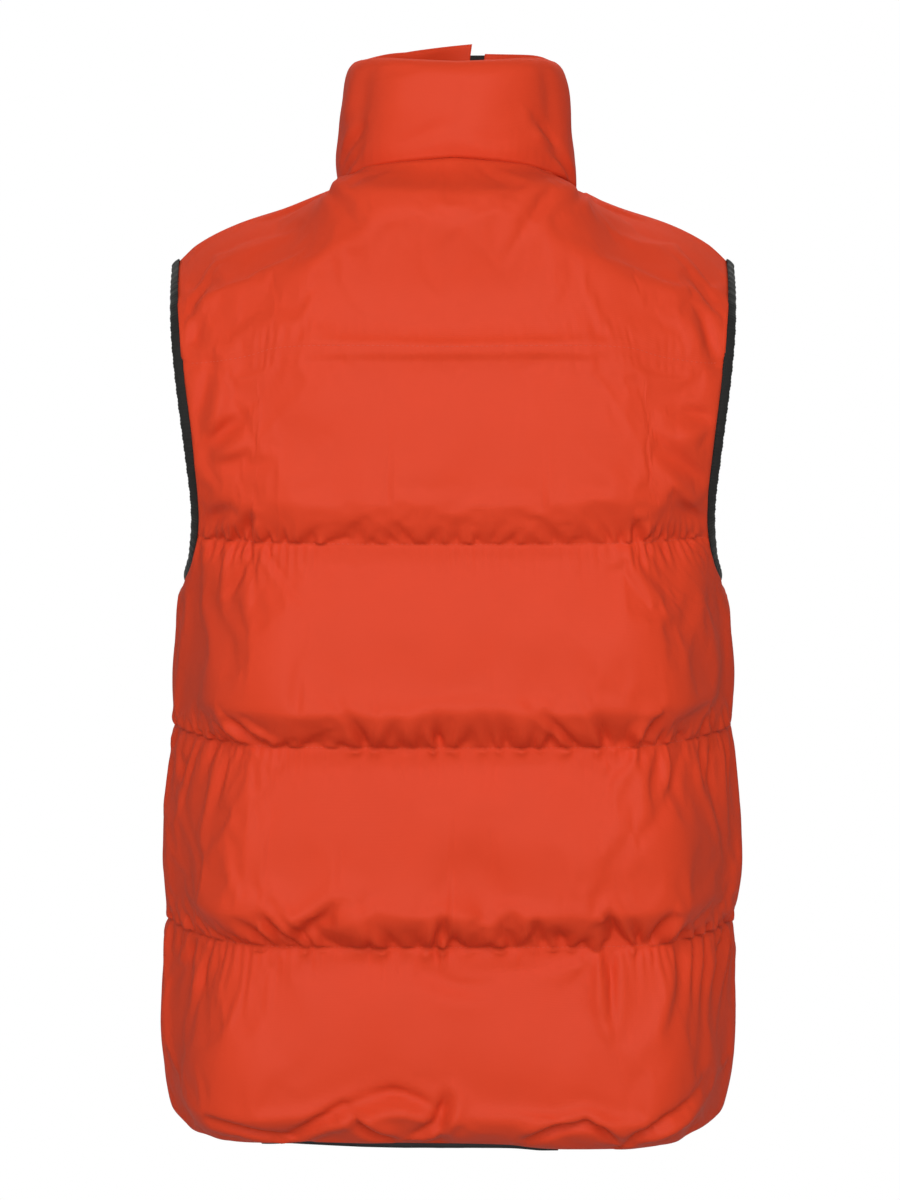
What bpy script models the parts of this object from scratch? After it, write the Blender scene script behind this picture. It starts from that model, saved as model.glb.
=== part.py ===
"""A sleeveless puffer jacket, zipped shut and filled out as it is when worn, with nobody in it.

Metres, +Z up. The front faces -Y, the back +Y, and +X is the wearer's left. The origin is the
middle of the neck opening, level with the two points where shoulder seams meet the collar.
Each panel is a wall: a plain inside, and outer points raised by the baffles, gathers and creases.
"""
import math
from collections import namedtuple

import bmesh
import bpy
from mathutils import Vector

# ---- driving dimensions -------------------------------------------------------------------
SEAM_GAP = 0.0003  # clearance between sewn pieces
WALL = 0.002  # lining to shell where a line of stitching holds them together
HEM_HEIGHT = -0.669
QUILT_HEIGHTS = (HEM_HEIGHT, -0.528, -0.386, -0.2435, -0.106)  # hem, then the lines going up
BAFFLE_HEIGHT = 0.14  # about, for how far a gather reaches
YOKE_LINE_DIP = 0.012  # how far the top line drops where it meets the armhole
UNDERARM_HEIGHT = -0.2815
HEM_SWAY = 0.004  # the hem hangs this far towards the wearer's left
SHOULDER_TIP = Vector((0.196, 0.0, -0.052))
ARMHOLE_BACK_DEPTH = 0.092
ARMHOLE_FRONT_DEPTH = 0.090
NECK_HALF_WIDTH = 0.0785
NECK_BACK_Y = 0.080
NECK_FRONT_Y = -0.088
NECK_SQUARENESS = 2.5
TOP_ROW = 5.0  # the row value of the shoulder seam and neckline; 0 is the hem, 4 the yoke line
CORNER = 0.45  # share of a half panel that lies on the flat, before it turns to the side
CORNER_EASE = 0.45  # how softly a section rounds its corner
SIDE_ROUNDNESS = 0.8  # how much of a side's length it runs straight back at the seam
SIDE_SLANT = 0.35  # how much of it follows the line from the corner to the seam
YOKE_OUTWARD = 0.001  # how far the yoke swings out on its way over the shoulder

ZIP_HALF_WIDTH = 0.0027
TAPE_INNER = 0.0030
TAPE_OUTER = 0.0075
FRONT_EDGE = 0.0078  # centre line to the edge of each front panel
TAPE_THICKNESS = 0.0011
CHAIN_THICKNESS = 0.0024
COLLAR_ZIP_LEAN = -0.018  # sideways lean of the zip between neck seam and collar top

BINDING_WIDTH = 0.0068
BINDING_THICKNESS = 0.0046
BINDING_CLEARANCE = 0.0004

# ---- the cut, as sections and tables ------------------------------------------------------
# Half sections of the torso at the level of the stitching, from the hem up. A section runs
# from the centre, round a soft corner, to the side.
Section = namedtuple("Section", "height side_x corner_x corner_y centre_y")
BACK_SECTIONS = (
    Section(HEM_HEIGHT, 0.201, 0.151, 0.098, 0.109),
    Section(-0.590, 0.202, 0.148, 0.101, 0.112),
    Section(-0.527, 0.205, 0.147, 0.103, 0.114),
    Section(-0.386, 0.201, 0.138, 0.108, 0.118),
    Section(UNDERARM_HEIGHT, 0.192, 0.130, 0.110, 0.120),
    Section(-0.2435, 0.191, 0.128, 0.109, 0.120),
    Section(-0.180, 0.190, 0.126, 0.107, 0.119),
    Section(-0.106, 0.190, 0.124, 0.102, 0.114),
)
FRONT_SECTIONS = (
    Section(HEM_HEIGHT, 0.201, 0.143, -0.102, -0.116),
    Section(-0.590, 0.202, 0.141, -0.105, -0.120),
    Section(-0.527, 0.205, 0.140, -0.107, -0.122),
    Section(-0.386, 0.201, 0.133, -0.110, -0.125),
    Section(UNDERARM_HEIGHT, 0.192, 0.126, -0.110, -0.125),
    Section(-0.2435, 0.191, 0.123, -0.109, -0.124),
    Section(-0.180, 0.190, 0.119, -0.106, -0.121),
    Section(-0.106, 0.190, 0.117, -0.100, -0.114),
)
# Where the armhole's edge lies sideways, from the underarm up to the yoke line.
ArmholeX = namedtuple("ArmholeX", "height back_x front_x")
ARMHOLE_X = (
    ArmholeX(UNDERARM_HEIGHT, 0.192, 0.192),
    ArmholeX(-0.262, 0.1840, 0.182),
    ArmholeX(-0.225, 0.178, 0.174),
    ArmholeX(-0.180, 0.181, 0.176),
    ArmholeX(-0.120, 0.1885, 0.184),
    ArmholeX(-0.090, 0.1915, 0.187),
)
# The shoulder seam, from the collar out to the armhole.
ShoulderPoint = namedtuple("ShoulderPoint", "x height")
SHOULDER_SEAM = (
    ShoulderPoint(NECK_HALF_WIDTH, 0.003),
    ShoulderPoint(0.117, -0.0130),
    ShoulderPoint(0.155, -0.0255),
    ShoulderPoint(0.183, -0.0400),
    ShoulderPoint(SHOULDER_TIP.x, SHOULDER_TIP.z),
)
# The neckline, by the turn from centre back (0) over the neck point (90) to centre front (180).
NeckPoint = namedtuple("NeckPoint", "turn height collar_top")
NECKLINE = (
    NeckPoint(0.0, 0.022, 0.0845),
    NeckPoint(45.0, 0.015, 0.0875),
    NeckPoint(90.0, 0.003, 0.0910),
    NeckPoint(135.0, -0.017, 0.0940),
    NeckPoint(180.0, -0.030, 0.0960),
)
# Control points that round the yoke over the shoulder, by the share of the half panel.
YokeControl = namedtuple("YokeControl", "share back_y front_y drop")
YOKE_CONTROLS = (
    YokeControl(0.0, 0.113, -0.105, 0.052),
    YokeControl(CORNER, 0.100, -0.088, 0.013),
    YokeControl(0.72, 0.094, -0.082, 0.013),
    YokeControl(1.0, 0.080, -0.074, 0.022),
)
# The baffles from the hem up. floor_low and floor_high are what stays of the loft at the lines.
Baffle = namedtuple("Baffle", "loft crown sag floor_low floor_high")
BAFFLES = (
    Baffle(0.0175, 0.36, 0.003, 0.0005, 0.0),
    Baffle(0.0200, 0.33, 0.006, 0.0, 0.0),
    Baffle(0.0195, 0.33, 0.006, 0.0, 0.0),
    Baffle(0.0125, 0.38, 0.003, 0.0, 0.0090),
    Baffle(0.0055, 0.28, 0.000, 0.0090, 0.0),
)
SIDE_LOFT = 0.52  # share of the loft that is left at the sides
SIDE_FROM_X = 0.115  # where the back starts to turn to the side, and where it has turned
SIDE_TO_X = 0.192
EDGE_REACH = 0.030  # how far from an edge the loft comes up in full
ZIP_REACH = 0.022
FRONT_FLAT_WIDTH = 0.13  # about, from the zip to the corner
EDGE_FLOOR = 0.0004
HANGING_FULLNESS = 0.8  # how square the baffles' profiles are on the flat and at the sides
HELD_OUT_FULLNESS = 0.45

# Gathers: runs of small folds that fan out from a line. from_share and to_share count from the
# centre (0) to the side (1), above and below are how far the folds reach from the line.
Gather = namedtuple("Gather", "line side from_share to_share count above below depth")
BACK_GATHERS = (
    Gather(1, "both", 0.02, 0.44, 7, 0.024, 0.008, 0.0026),
    Gather(2, "both", 0.02, 0.44, 7, 0.020, 0.008, 0.0026),
    Gather(3, "both", 0.04, 0.44, 6, 0.016, 0.006, 0.0018),
    Gather(1, "left", 0.50, 0.97, 5, 0.010, 0.022, 0.0030),
    Gather(1, "right", 0.48, 0.97, 6, 0.010, 0.030, 0.0034),
    Gather(2, "left", 0.47, 0.97, 6, 0.012, 0.034, 0.0034),
    Gather(2, "right", 0.46, 0.97, 6, 0.012, 0.040, 0.0036),
    Gather(3, "left", 0.55, 0.97, 6, 0.008, 0.022, 0.0030),
    Gather(3, "right", 0.55, 0.97, 6, 0.008, 0.024, 0.0030),
    Gather(4, "left", 0.74, 0.98, 3, 0.012, 0.012, 0.0018),
    Gather(4, "right", 0.70, 0.98, 3, 0.012, 0.014, 0.0020),
)
FRONT_GATHERS = (
    Gather(1, "both", 0.04, 0.44, 3, 0.022, 0.008, 0.0024),
    Gather(2, "both", 0.04, 0.44, 3, 0.020, 0.008, 0.0024),
    Gather(1, "both", 0.48, 0.97, 4, 0.010, 0.026, 0.0030),
    Gather(2, "both", 0.47, 0.97, 4, 0.012, 0.034, 0.0032),
    Gather(3, "both", 0.52, 0.97, 4, 0.008, 0.022, 0.0028),
)
# Single creases, by where they start and end seen from the back or front. A negative depth is
# a trough, a positive one a ridge.
Crease = namedtuple("Crease", "from_x from_height to_x to_height width depth")
BACK_CREASES = (
    Crease(-0.110, -0.509, -0.115, -0.560, 0.006, -0.0050),
    Crease(0.105, -0.641, 0.069, -0.626, 0.008, -0.0035),
    Crease(0.069, -0.626, 0.038, -0.618, 0.008, -0.0040),
    Crease(0.038, -0.618, 0.010, -0.626, 0.008, -0.0035),
    Crease(0.065, -0.630, 0.040, -0.654, 0.007, -0.0045),
    Crease(0.017, -0.647, 0.001, -0.622, 0.007, -0.0045),
    Crease(-0.063, -0.651, -0.098, -0.638, 0.008, -0.0040),
    Crease(-0.098, -0.638, -0.118, -0.654, 0.008, -0.0040),
    Crease(-0.131, -0.656, -0.158, -0.628, 0.008, -0.0045),
    Crease(0.072, -0.486, 0.103, -0.516, 0.009, -0.0040),
    Crease(0.124, -0.486, 0.112, -0.518, 0.008, -0.0035),
    Crease(0.182, -0.072, 0.172, -0.050, 0.006, -0.0022),
    Crease(0.180, -0.094, 0.168, -0.068, 0.006, -0.0024),
    Crease(-0.181, -0.062, -0.169, -0.044, 0.006, -0.0022),
    Crease(-0.183, -0.090, -0.169, -0.062, 0.006, -0.0024),
    Crease(0.172, -0.156, 0.158, -0.130, 0.009, -0.0030),
    Crease(0.170, -0.180, 0.148, -0.160, 0.010, -0.0035),
    Crease(-0.178, -0.156, -0.155, -0.142, 0.009, -0.0030),
    Crease(-0.172, -0.190, -0.146, -0.172, 0.010, -0.0035),
    Crease(-0.060, 0.014, -0.086, -0.006, 0.006, -0.0016),
    Crease(0.066, 0.006, 0.090, -0.010, 0.006, -0.0016),
)
FRONT_CREASES = (
    Crease(0.060, -0.636, 0.098, -0.624, 0.009, -0.0040),
    Crease(0.120, -0.650, 0.146, -0.626, 0.009, -0.0040),
    Crease(0.074, -0.486, 0.100, -0.514, 0.010, -0.0040),
    Crease(0.168, -0.178, 0.146, -0.160, 0.010, -0.0032),
    Crease(-0.064, -0.640, -0.104, -0.622, 0.009, -0.0040),
    Crease(-0.122, -0.646, -0.150, -0.630, 0.009, -0.0035),
    Crease(-0.078, -0.350, -0.104, -0.376, 0.010, -0.0038),
    Crease(-0.168, -0.170, -0.148, -0.148, 0.010, -0.0032),
)
# How far the hem hangs below its level line, by the distance across the back.
HemPoint = namedtuple("HemPoint", "x drop")
HEM_WAVE = (
    HemPoint(-0.200, 0.001),
    HemPoint(-0.160, 0.005),
    HemPoint(-0.115, 0.0055),
    HemPoint(-0.070, 0.0045),
    HemPoint(-0.040, 0.0015),
    HemPoint(0.050, 0.0000),
    HemPoint(0.110, -0.0010),
    HemPoint(0.130, 0.0010),
    HemPoint(0.165, 0.0030),
    HemPoint(0.200, 0.0000),
)

HEM_WAVE_FADE = 0.8  # share of the lowest baffle over which the wave dies away

# ---- mesh densities -----------------------------------------------------------------------
ROW_STEPS = (0.0, 0.05, 0.13, 0.25, 0.40, 0.57, 0.75, 0.91)
UNDERARM_ROW = 2.733  # the row value at the underarm
UNDERARM_ROWS = (2.65, 2.70, UNDERARM_ROW, 2.75, 2.79, 2.86, 2.93)
BACK_COLUMNS = (15, 20)  # on the flat and on the side of each half
FRONT_COLUMNS = (9, 13)
INNER_COLUMN_STRIDE = 4
INNER_ROW_STRIDE = 2
COLLAR_STATIONS = 20  # from centre back to centre front, on each side
YOKE_EVENING = 10  # how many times the yoke's points are evened out
CUT_SEARCH_STEPS = 16  # halvings that find where the armhole cuts a section

# ---- colours --------------------------------------------------------------------------------
Finish = namedtuple("Finish", "colour roughness metallic")
SHELL = Finish((0.62, 0.066, 0.024), 0.42, 0.0)
BLACK_TRIM = Finish((0.012, 0.012, 0.011), 0.70, 0.0)
BLACK_LINING = Finish((0.010, 0.010, 0.010), 0.48, 0.0)
BLACK_TEETH = Finish((0.015, 0.015, 0.015), 0.35, 0.0)
DARK_METAL = Finish((0.045, 0.045, 0.045), 0.30, 0.9)


def read(table, column, at):
    """A named column of a table at a value of its first column, eased from row to row."""
    keys = [row[0] for row in table]
    values = [getattr(row, column) for row in table]
    at = min(max(at, keys[0]), keys[-1])
    low = max(i for i in range(len(keys) - 1) if keys[i] <= at)
    span = keys[low + 1] - keys[low]

    def slope(i):
        before, after = max(i - 1, 0), min(i + 1, len(keys) - 1)
        return (values[after] - values[before]) / (keys[after] - keys[before])

    t = (at - keys[low]) / span
    return (
        (2 * t**3 - 3 * t**2 + 1) * values[low]
        + (t**3 - 2 * t**2 + t) * span * slope(low)
        + (3 * t**2 - 2 * t**3) * values[low + 1]
        + (t**3 - t**2) * span * slope(low + 1)
    )


def ease(t):
    """0 below 0, 1 above 1, and a soft step between."""
    t = min(max(t, 0.0), 1.0)
    return t * t * (3 - 2 * t)


def hermite(start, start_way, end, end_way, t):
    """A point on the cubic that leaves start and reaches end along the given ways."""
    return (
        (2 * t**3 - 3 * t**2 + 1) * start
        + (t**3 - 2 * t**2 + t) * start_way
        + (3 * t**2 - 2 * t**3) * end
        + (t**3 - t**2) * end_way
    )


def zip_centre(height):
    """Where the zip's centre line lies sideways: straight on the front, leaning in the collar."""
    neck = NECKLINE[-1]
    return COLLAR_ZIP_LEAN * max(0.0, (height - neck.height) / (neck.collar_top - neck.height))


def row_height(row, share):
    """Height of a row value between hem (0) and yoke line (4)."""
    line = min(int(row), len(QUILT_HEIGHTS) - 2)
    low, high = QUILT_HEIGHTS[line], QUILT_HEIGHTS[line + 1]
    height = low + (high - low) * (row - line)
    return height - YOKE_LINE_DIP * ease(row - 3.0) * ease((share - 0.2) / 0.8)


def neckline(turn, lift=0.0, widen=0.0):
    """A point on the neckline, turn degrees round from the centre back, on the wearer's left."""
    power = 2.0 / NECK_SQUARENESS
    depth = NECK_BACK_Y if turn <= 90.0 else -NECK_FRONT_Y
    cosine, sine = math.cos(math.radians(turn)), math.sin(math.radians(turn))
    x = (NECK_HALF_WIDTH + widen) * abs(sine) ** power
    y = math.copysign((depth + widen) * abs(cosine) ** power, cosine)
    return Vector((x, y, read(NECKLINE, "height", turn) + lift))


class PanelCut:
    """The cut of one panel type: where a point of its stitched level lies in space."""

    def __init__(self, facing):
        self.facing = facing  # 1 for the back, -1 for the front
        self.sections = BACK_SECTIONS if facing > 0 else FRONT_SECTIONS
        self.armhole_column = "back_x" if facing > 0 else "front_x"
        self.armhole_depth = ARMHOLE_BACK_DEPTH if facing > 0 else ARMHOLE_FRONT_DEPTH
        self.yoke_column = "back_y" if facing > 0 else "front_y"
        self.seam_y = self.facing * SEAM_GAP / 2
        self.centre_x = 0.0 if facing > 0 else FRONT_EDGE

    def edge(self, height):
        """The panel's outer edge: the side seam below the underarm, the armhole above it."""
        if height <= UNDERARM_HEIGHT:
            return Vector((read(self.sections, "side_x", height), self.seam_y, height))
        middle = (UNDERARM_HEIGHT + SHOULDER_TIP.z) / 2
        half = (SHOULDER_TIP.z - UNDERARM_HEIGHT) / 2
        bow = math.sqrt(max(0.0, 1 - ((height - middle) / half) ** 2))
        y = self.facing * max(self.armhole_depth * bow, SEAM_GAP / 2)
        return Vector((read(ARMHOLE_X, self.armhole_column, height), y, height))

    def torso(self, share, row):
        """A point below the yoke line, by its share of the half section."""
        height = row_height(row, share)
        centre = Vector((self.centre_x, read(self.sections, "centre_y", height), height))
        corner_x = read(self.sections, "corner_x", height)
        corner = Vector((corner_x, read(self.sections, "corner_y", height), height))
        seam = Vector((read(self.sections, "side_x", height), self.seam_y, height))
        flat, side = corner - centre, seam - corner
        turn = (flat.normalized() + side.normalized()).normalized()
        if share <= CORNER:
            level = Vector((flat.length, 0, 0))
            return hermite(centre, level, corner, turn * flat.length * CORNER_EASE, share / CORNER)
        leaving = turn * side.length * CORNER_EASE
        back_way = Vector((0, -self.facing, 0)) * SIDE_ROUNDNESS
        along = (back_way + side.normalized() * SIDE_SLANT) * side.length
        t = (share - CORNER) / (1 - CORNER)
        if height <= UNDERARM_HEIGHT:
            return hermite(corner, leaving, seam, along, t)
        edge = self.edge(height)
        low, high = 0.0, 1.0
        for _ in range(CUT_SEARCH_STEPS):
            middle = (low + high) / 2
            beyond = abs(hermite(corner, leaving, seam, along, middle).y) < abs(edge.y)
            low, high = (low, middle) if beyond else (middle, high)
        missed = edge - hermite(corner, leaving, seam, along, low)
        return hermite(corner, leaving, seam, along, t * low) + missed * t * t

    def edge_distance(self, point):
        """How far a point lies from the armhole and from the side seam, whichever is nearer."""
        middle = (UNDERARM_HEIGHT + SHOULDER_TIP.z) / 2
        half = (SHOULDER_TIP.z - UNDERARM_HEIGHT) / 2
        ring = math.hypot(point.y / self.armhole_depth, (point.z - middle) / half) - 1
        inward = max(0.0, self.edge(point.z).x - abs(point.x)) if point.z < SHOULDER_TIP.z else 0.0
        if point.z >= SHOULDER_TIP.z:
            inward = SHOULDER_TIP.x - abs(point.x)
        armhole = math.hypot(max(ring, 0.0) * (half + self.armhole_depth) / 2, inward)
        seam = math.hypot(point.y, max(0.0, point.z - UNDERARM_HEIGHT))
        return min(armhole, seam)

    def top(self, share):
        """A point on the neckline or, further out, on the shoulder seam."""
        if share <= CORNER:
            turn = 90.0 * share / CORNER
            point = neckline(turn if self.facing > 0 else 180.0 - turn)
            point.x = max(point.x, self.centre_x)
        else:
            reach = (share - CORNER) / (1 - CORNER)
            x = NECK_HALF_WIDTH + (SHOULDER_TIP.x - NECK_HALF_WIDTH) * reach
            point = Vector((x, 0, read(SHOULDER_SEAM, "height", x)))
        point.y = self.facing * max(abs(point.y), SEAM_GAP / 2)
        return point

    def point(self, share, row):
        """A point of the stitched level. Above the yoke line it bends over to the top edge."""
        if row <= 4.0:
            return self.torso(share, row)
        low, high = self.torso(share, 4.0), self.top(share)
        control = Vector((
            (low.x + high.x) / 2 + YOKE_OUTWARD * share,
            read(YOKE_CONTROLS, self.yoke_column, share),
            high.z - read(YOKE_CONTROLS, "drop", share),
        ))
        t = row - 4.0
        point = low * (1 - t) ** 2 + control * 2 * t * (1 - t) + high * t**2
        point.y = self.facing * max(abs(point.y), SEAM_GAP / 2)
        return point

    def on_seam(self, share, row):
        """Whether a point lies on the side seam or the shoulder seam, both in the plane Y = 0."""
        side = share == 1.0 and row_height(min(row, 4.0), 1.0) <= UNDERARM_HEIGHT
        return side or (row == TOP_ROW and share >= CORNER)

    def side_normal(self, share, row):
        """The outward normal of a section, level with the ground."""
        step = 0.004
        left, right = max(share - step, 0.0), min(share + step, 1.0)
        across = self.point(right, row) - self.point(left, row)
        normal = Vector((across.y, -across.x, 0.0)) * -self.facing
        if self.on_seam(share, row):
            normal.y = 0.0
        return normal.normalized()


def baffle_shape(baffle, share_up, at_side):
    """Loft of a baffle from its lower line (0) to its upper one (1).

    On the flat it hangs and is fullest low down. At the sides it is held out all the way up.
    """
    if not 0 < share_up < 1:
        return 0.0
    power = math.log(0.5) / math.log(baffle.crown)
    hanging = math.sin(math.pi * share_up**power) ** HANGING_FULLNESS
    held_out = math.sin(math.pi * share_up) ** HELD_OUT_FULLNESS
    return hanging + (held_out - hanging) * at_side


def edge_ramp(distance, reach):
    """How far the loft has come up at a distance from an edge: steep first, then level."""
    t = min(max(distance / reach, 0.0), 1.0)
    return math.sqrt(1 - (1 - t) ** 2)


GATHER_UNEVENNESS = 0.30  # how much the folds of one run differ
GATHER_STEEPNESS = 3.0  # how soon a fold is at its deepest, counted from its line
CREASE_END = 0.35  # share of a crease's depth that is left at its ends


def gather_height(gather, share, row):
    """What one run of gathers adds at a point."""
    span = gather.to_share - gather.from_share
    place = (share - gather.from_share) / span
    if not 0 <= place <= 1:
        return 0.0
    away = (row - gather.line) * BAFFLE_HEIGHT
    wave_number = place * gather.count
    wobble = math.sin(2.4 * math.floor(wave_number) + 1.7 * gather.line)
    unevenness = 1 + GATHER_UNEVENNESS * (wobble - 1)
    reach = (gather.above if away > 0 else gather.below) * unevenness
    rise = GATHER_STEEPNESS * abs(away) / reach
    swell = rise * math.exp(1 - rise)
    wave = -math.cos(2 * math.pi * wave_number)
    return gather.depth * unevenness * wave * swell


def crease_height(crease, point):
    """What one crease adds at a point: a soft trough that fades towards its ends."""
    start = Vector((crease.from_x, crease.from_height))
    way = Vector((crease.to_x, crease.to_height)) - start
    here = Vector((point.x, point.z)) - start
    along = here.dot(way) / way.length_squared
    nearest = min(max(along, 0.0), 1.0)
    distance = (here - way * nearest).length
    fade = CREASE_END + (1 - CREASE_END) * math.sin(math.pi * (0.15 + 0.7 * nearest))
    return crease.depth * fade * math.exp(-((distance / crease.width) ** 2))


def panel_rows():
    """Row values from hem to top, closer together at the lines and round the underarm."""
    values = {line + step for line in range(len(BAFFLES)) for step in ROW_STEPS}
    crowded = {v for v in values if UNDERARM_ROWS[0] < v + 0.03 and v < 3.0}
    return sorted((values - crowded) | set(UNDERARM_ROWS) | {TOP_ROW})


class Panel:
    """One quilted panel: its cut, loft, gathers and creases."""

    def __init__(self, name, facing, sides, columns, gathers, creases):
        self.name = name
        self.cut = PanelCut(facing)
        self.facing = facing
        self.sides = sides  # the halves it covers, 1 for the wearer's left and -1 for the right
        self.columns = columns
        self.gathers = gathers
        self.creases = creases

    def shares(self):
        """Signed shares of the half panels across the piece."""
        flat, side = self.columns
        half = [CORNER * i / flat for i in range(flat)]
        half += [CORNER + (1 - CORNER) * i / side for i in range(side + 1)]
        if len(self.sides) == 2:
            return [(s, -1) for s in reversed(half[1:])] + [(s, 1) for s in half]
        side_sign = self.sides[0]
        ordered = half if side_sign > 0 else list(reversed(half))
        return [(s, side_sign) for s in ordered]

    def stitched(self):
        """The stitched level as a grid of points, with the yoke's inner points evened out."""
        rows, shares = panel_rows(), self.shares()
        grid = [[self.cut.point(share, row) for share, _ in shares] for row in rows]
        for line, row in zip(grid, rows):
            for point, (_, sign) in zip(line, shares):
                point.x *= sign
                if self.facing > 0:
                    point.z -= (1 - ease(row / HEM_WAVE_FADE)) * read(HEM_WAVE, "drop", point.x)
        first = rows.index(4.0)
        for _ in range(YOKE_EVENING):
            before = [[point.copy() for point in line] for line in grid]
            for r in range(first, len(rows) - 1):
                for c in range(1, len(shares) - 1):
                    ring = before[r - 1][c] + before[r + 1][c] + before[r][c - 1] + before[r][c + 1]
                    grid[r][c] = before[r][c] * 0.5 + ring * 0.125
        return grid

    def normals(self, grid):
        """The outward normal at each point of the grid."""
        rows, shares = panel_rows(), self.shares()
        found = []
        for r, row in enumerate(rows):
            line = []
            for c, (share, sign) in enumerate(shares):
                if row <= 4.0:
                    normal = self.cut.side_normal(share, row)
                    normal.x *= sign
                else:
                    last_r, last_c = len(rows) - 1, len(shares) - 1
                    across = grid[r][min(c + 1, last_c)] - grid[r][max(c - 1, 0)]
                    up = grid[min(r + 1, last_r)][c] - grid[max(r - 1, 0)][c]
                    normal = across.cross(up) * -self.facing
                    if normal.z < 0:
                        normal.negate()
                    if self.cut.on_seam(share, row):
                        normal.y = 0.0
                line.append(normal.normalized())
            found.append(line)
        return found

    def loft(self, share, sign, row, point):
        """How far the shell stands off the stitched level."""
        line = min(int(row), len(BAFFLES) - 1)
        baffle, up = BAFFLES[line], row - line
        floor = baffle.floor_low + (baffle.floor_high - baffle.floor_low) * up
        # how far round to the side the point lies, which at the armhole is less than its share
        turned = ease((abs(point.x) - SIDE_FROM_X) / (SIDE_TO_X - SIDE_FROM_X))
        height = floor + baffle.loft * baffle_shape(baffle, up, turned)
        height *= 1 - (1 - SIDE_LOFT) * turned
        for gather in self.gathers:
            if gather.side == "both" or (gather.side == "left") == (sign > 0):
                height += gather_height(gather, share, row)
        for crease in self.creases:
            height += crease_height(crease, point)
        height = max(height, 0.0)
        height *= edge_ramp(self.cut.edge_distance(point), EDGE_REACH)
        if self.facing < 0:
            height *= edge_ramp(share / CORNER * FRONT_FLAT_WIDTH, ZIP_REACH)
        return height + EDGE_FLOOR * (row < TOP_ROW)

    def shell_point(self, share, sign, row, point, normal):
        """A point of the shell over one of the stitched level."""
        loft = self.loft(share, sign, row, point)
        baffle = BAFFLES[min(int(row), len(BAFFLES) - 1)]
        sag = baffle.sag * loft / (baffle.loft + baffle.floor_low)
        return point + normal * loft - Vector((0, 0, sag))


def inner_places(shares):
    """The columns that the inside keeps: its corners, every few from them, and both edges."""
    corners = [c for c, (share, _) in enumerate(shares) if share == CORNER]
    kept = []
    for c in range(len(shares)):
        from_corner = min((c - corner for corner in corners), key=abs)
        if c in (0, len(shares) - 1) or from_corner % INNER_COLUMN_STRIDE == 0:
            kept.append(c)
    return kept


def grid_faces(mesh, points, flip):
    """Adds a grid of points as quads and returns its vertices, row by row."""
    verts = [[mesh.verts.new(p) for p in line] for line in points]
    for low, high in zip(verts, verts[1:]):
        for a, b, c, d in zip(low, low[1:], high[1:], high):
            mesh.faces.new((a, b, c, d) if not flip else (d, c, b, a))
    return verts


def rim(verts):
    """The boundary of a grid as four runs: bottom, right, top and left."""
    bottom, top = verts[0], verts[-1]
    right, left = [line[-1] for line in verts], [line[0] for line in verts]
    return bottom, right, top, left


def join_runs(mesh, run, other, kept, flip):
    """Fills between a run of points and a thinner one that keeps only some of its places."""
    i = j = 0
    while i < len(run) - 1 or j < len(other) - 1:
        if i < len(run) - 1 and (j == len(other) - 1 or i + 1 <= kept[j + 1]):
            face = (run[i], run[i + 1], other[j])
            i += 1
        else:
            face = (run[i], other[j + 1], other[j])
            j += 1
        mesh.faces.new(face if not flip else tuple(reversed(face)))


def material(name, finish):
    """A Principled material."""
    made = bpy.data.materials.new(name)
    made.use_nodes = True
    shader = made.node_tree.nodes["Principled BSDF"]
    shader.inputs["Base Color"].default_value = (*finish.colour, 1.0)
    shader.inputs["Roughness"].default_value = finish.roughness
    shader.inputs["Metallic"].default_value = finish.metallic
    return made


def add_object(name, mesh, finish, collection):
    """Turns a bmesh into a named object with its own material. The lower half sways a little."""
    knee = QUILT_HEIGHTS[2]
    for vert in mesh.verts:
        vert.co.x += HEM_SWAY * ease((knee - vert.co.z) / (knee - HEM_HEIGHT))
    bmesh.ops.recalc_face_normals(mesh, faces=mesh.faces)
    data = bpy.data.meshes.new(name)
    mesh.to_mesh(data)
    mesh.free()
    data.shade_smooth()
    data.set_sharp_from_angle(angle=math.radians(50))
    data.materials.append(material(name, finish))
    made = bpy.data.objects.new(name, data)
    collection.objects.link(made)
    return made


def build_panel(panel, collection):
    """A closed wall: the lofted shell, the plain inside, and the rim that joins them."""
    rows, shares = panel_rows(), panel.shares()
    grid = panel.stitched()
    normals = panel.normals(grid)
    shell = [
        [
            panel.shell_point(share, sign, row, grid[r][c], normals[r][c])
            for c, (share, sign) in enumerate(shares)
        ]
        for r, row in enumerate(rows)
    ]
    # The inside is coarser, but keeps every row along the armhole, where the binding meets it.
    underarm = rows.index(UNDERARM_ROW)
    inner_rows = list(range(0, underarm, INNER_ROW_STRIDE)) + list(range(underarm, len(rows)))
    inner_columns = inner_places(shares)
    inside = [[grid[r][c] - normals[r][c] * WALL for c in inner_columns] for r in inner_rows]
    mesh = bmesh.new()
    outer_verts = grid_faces(mesh, shell, flip=False)
    inner_verts = grid_faces(mesh, inside, flip=True)
    for number, (run, other) in enumerate(zip(rim(outer_verts), rim(inner_verts))):
        kept = inner_rows if number in (1, 3) else inner_columns
        join_runs(mesh, run, other, kept, flip=number in (0, 1))
    return add_object(panel.name, mesh, SHELL, collection)


def sweep(mesh, loops, closed):
    """Joins a list of equal closed loops of points, capped at its ends unless it is closed."""
    rings = [[mesh.verts.new(p) for p in loop] for loop in loops]
    pairs = list(zip(rings, rings[1:]))
    if closed:
        pairs.append((rings[-1], rings[0]))
    for low, high in pairs:
        for i in range(len(low)):
            j = (i + 1) % len(low)
            mesh.faces.new((low[i], low[j], high[j], high[i]))
    if not closed:
        mesh.faces.new(list(reversed(rings[0])))
        mesh.faces.new(rings[-1])


# ---- collar -------------------------------------------------------------------------------
COLLAR_FOOT = 0.0005  # the collar's clearance over the neck seam
COLLAR_FOOT_HALF = 0.0014
COLLAR_TOP_NARROWING = -0.003  # the top loop is this much smaller than the neckline
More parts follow.
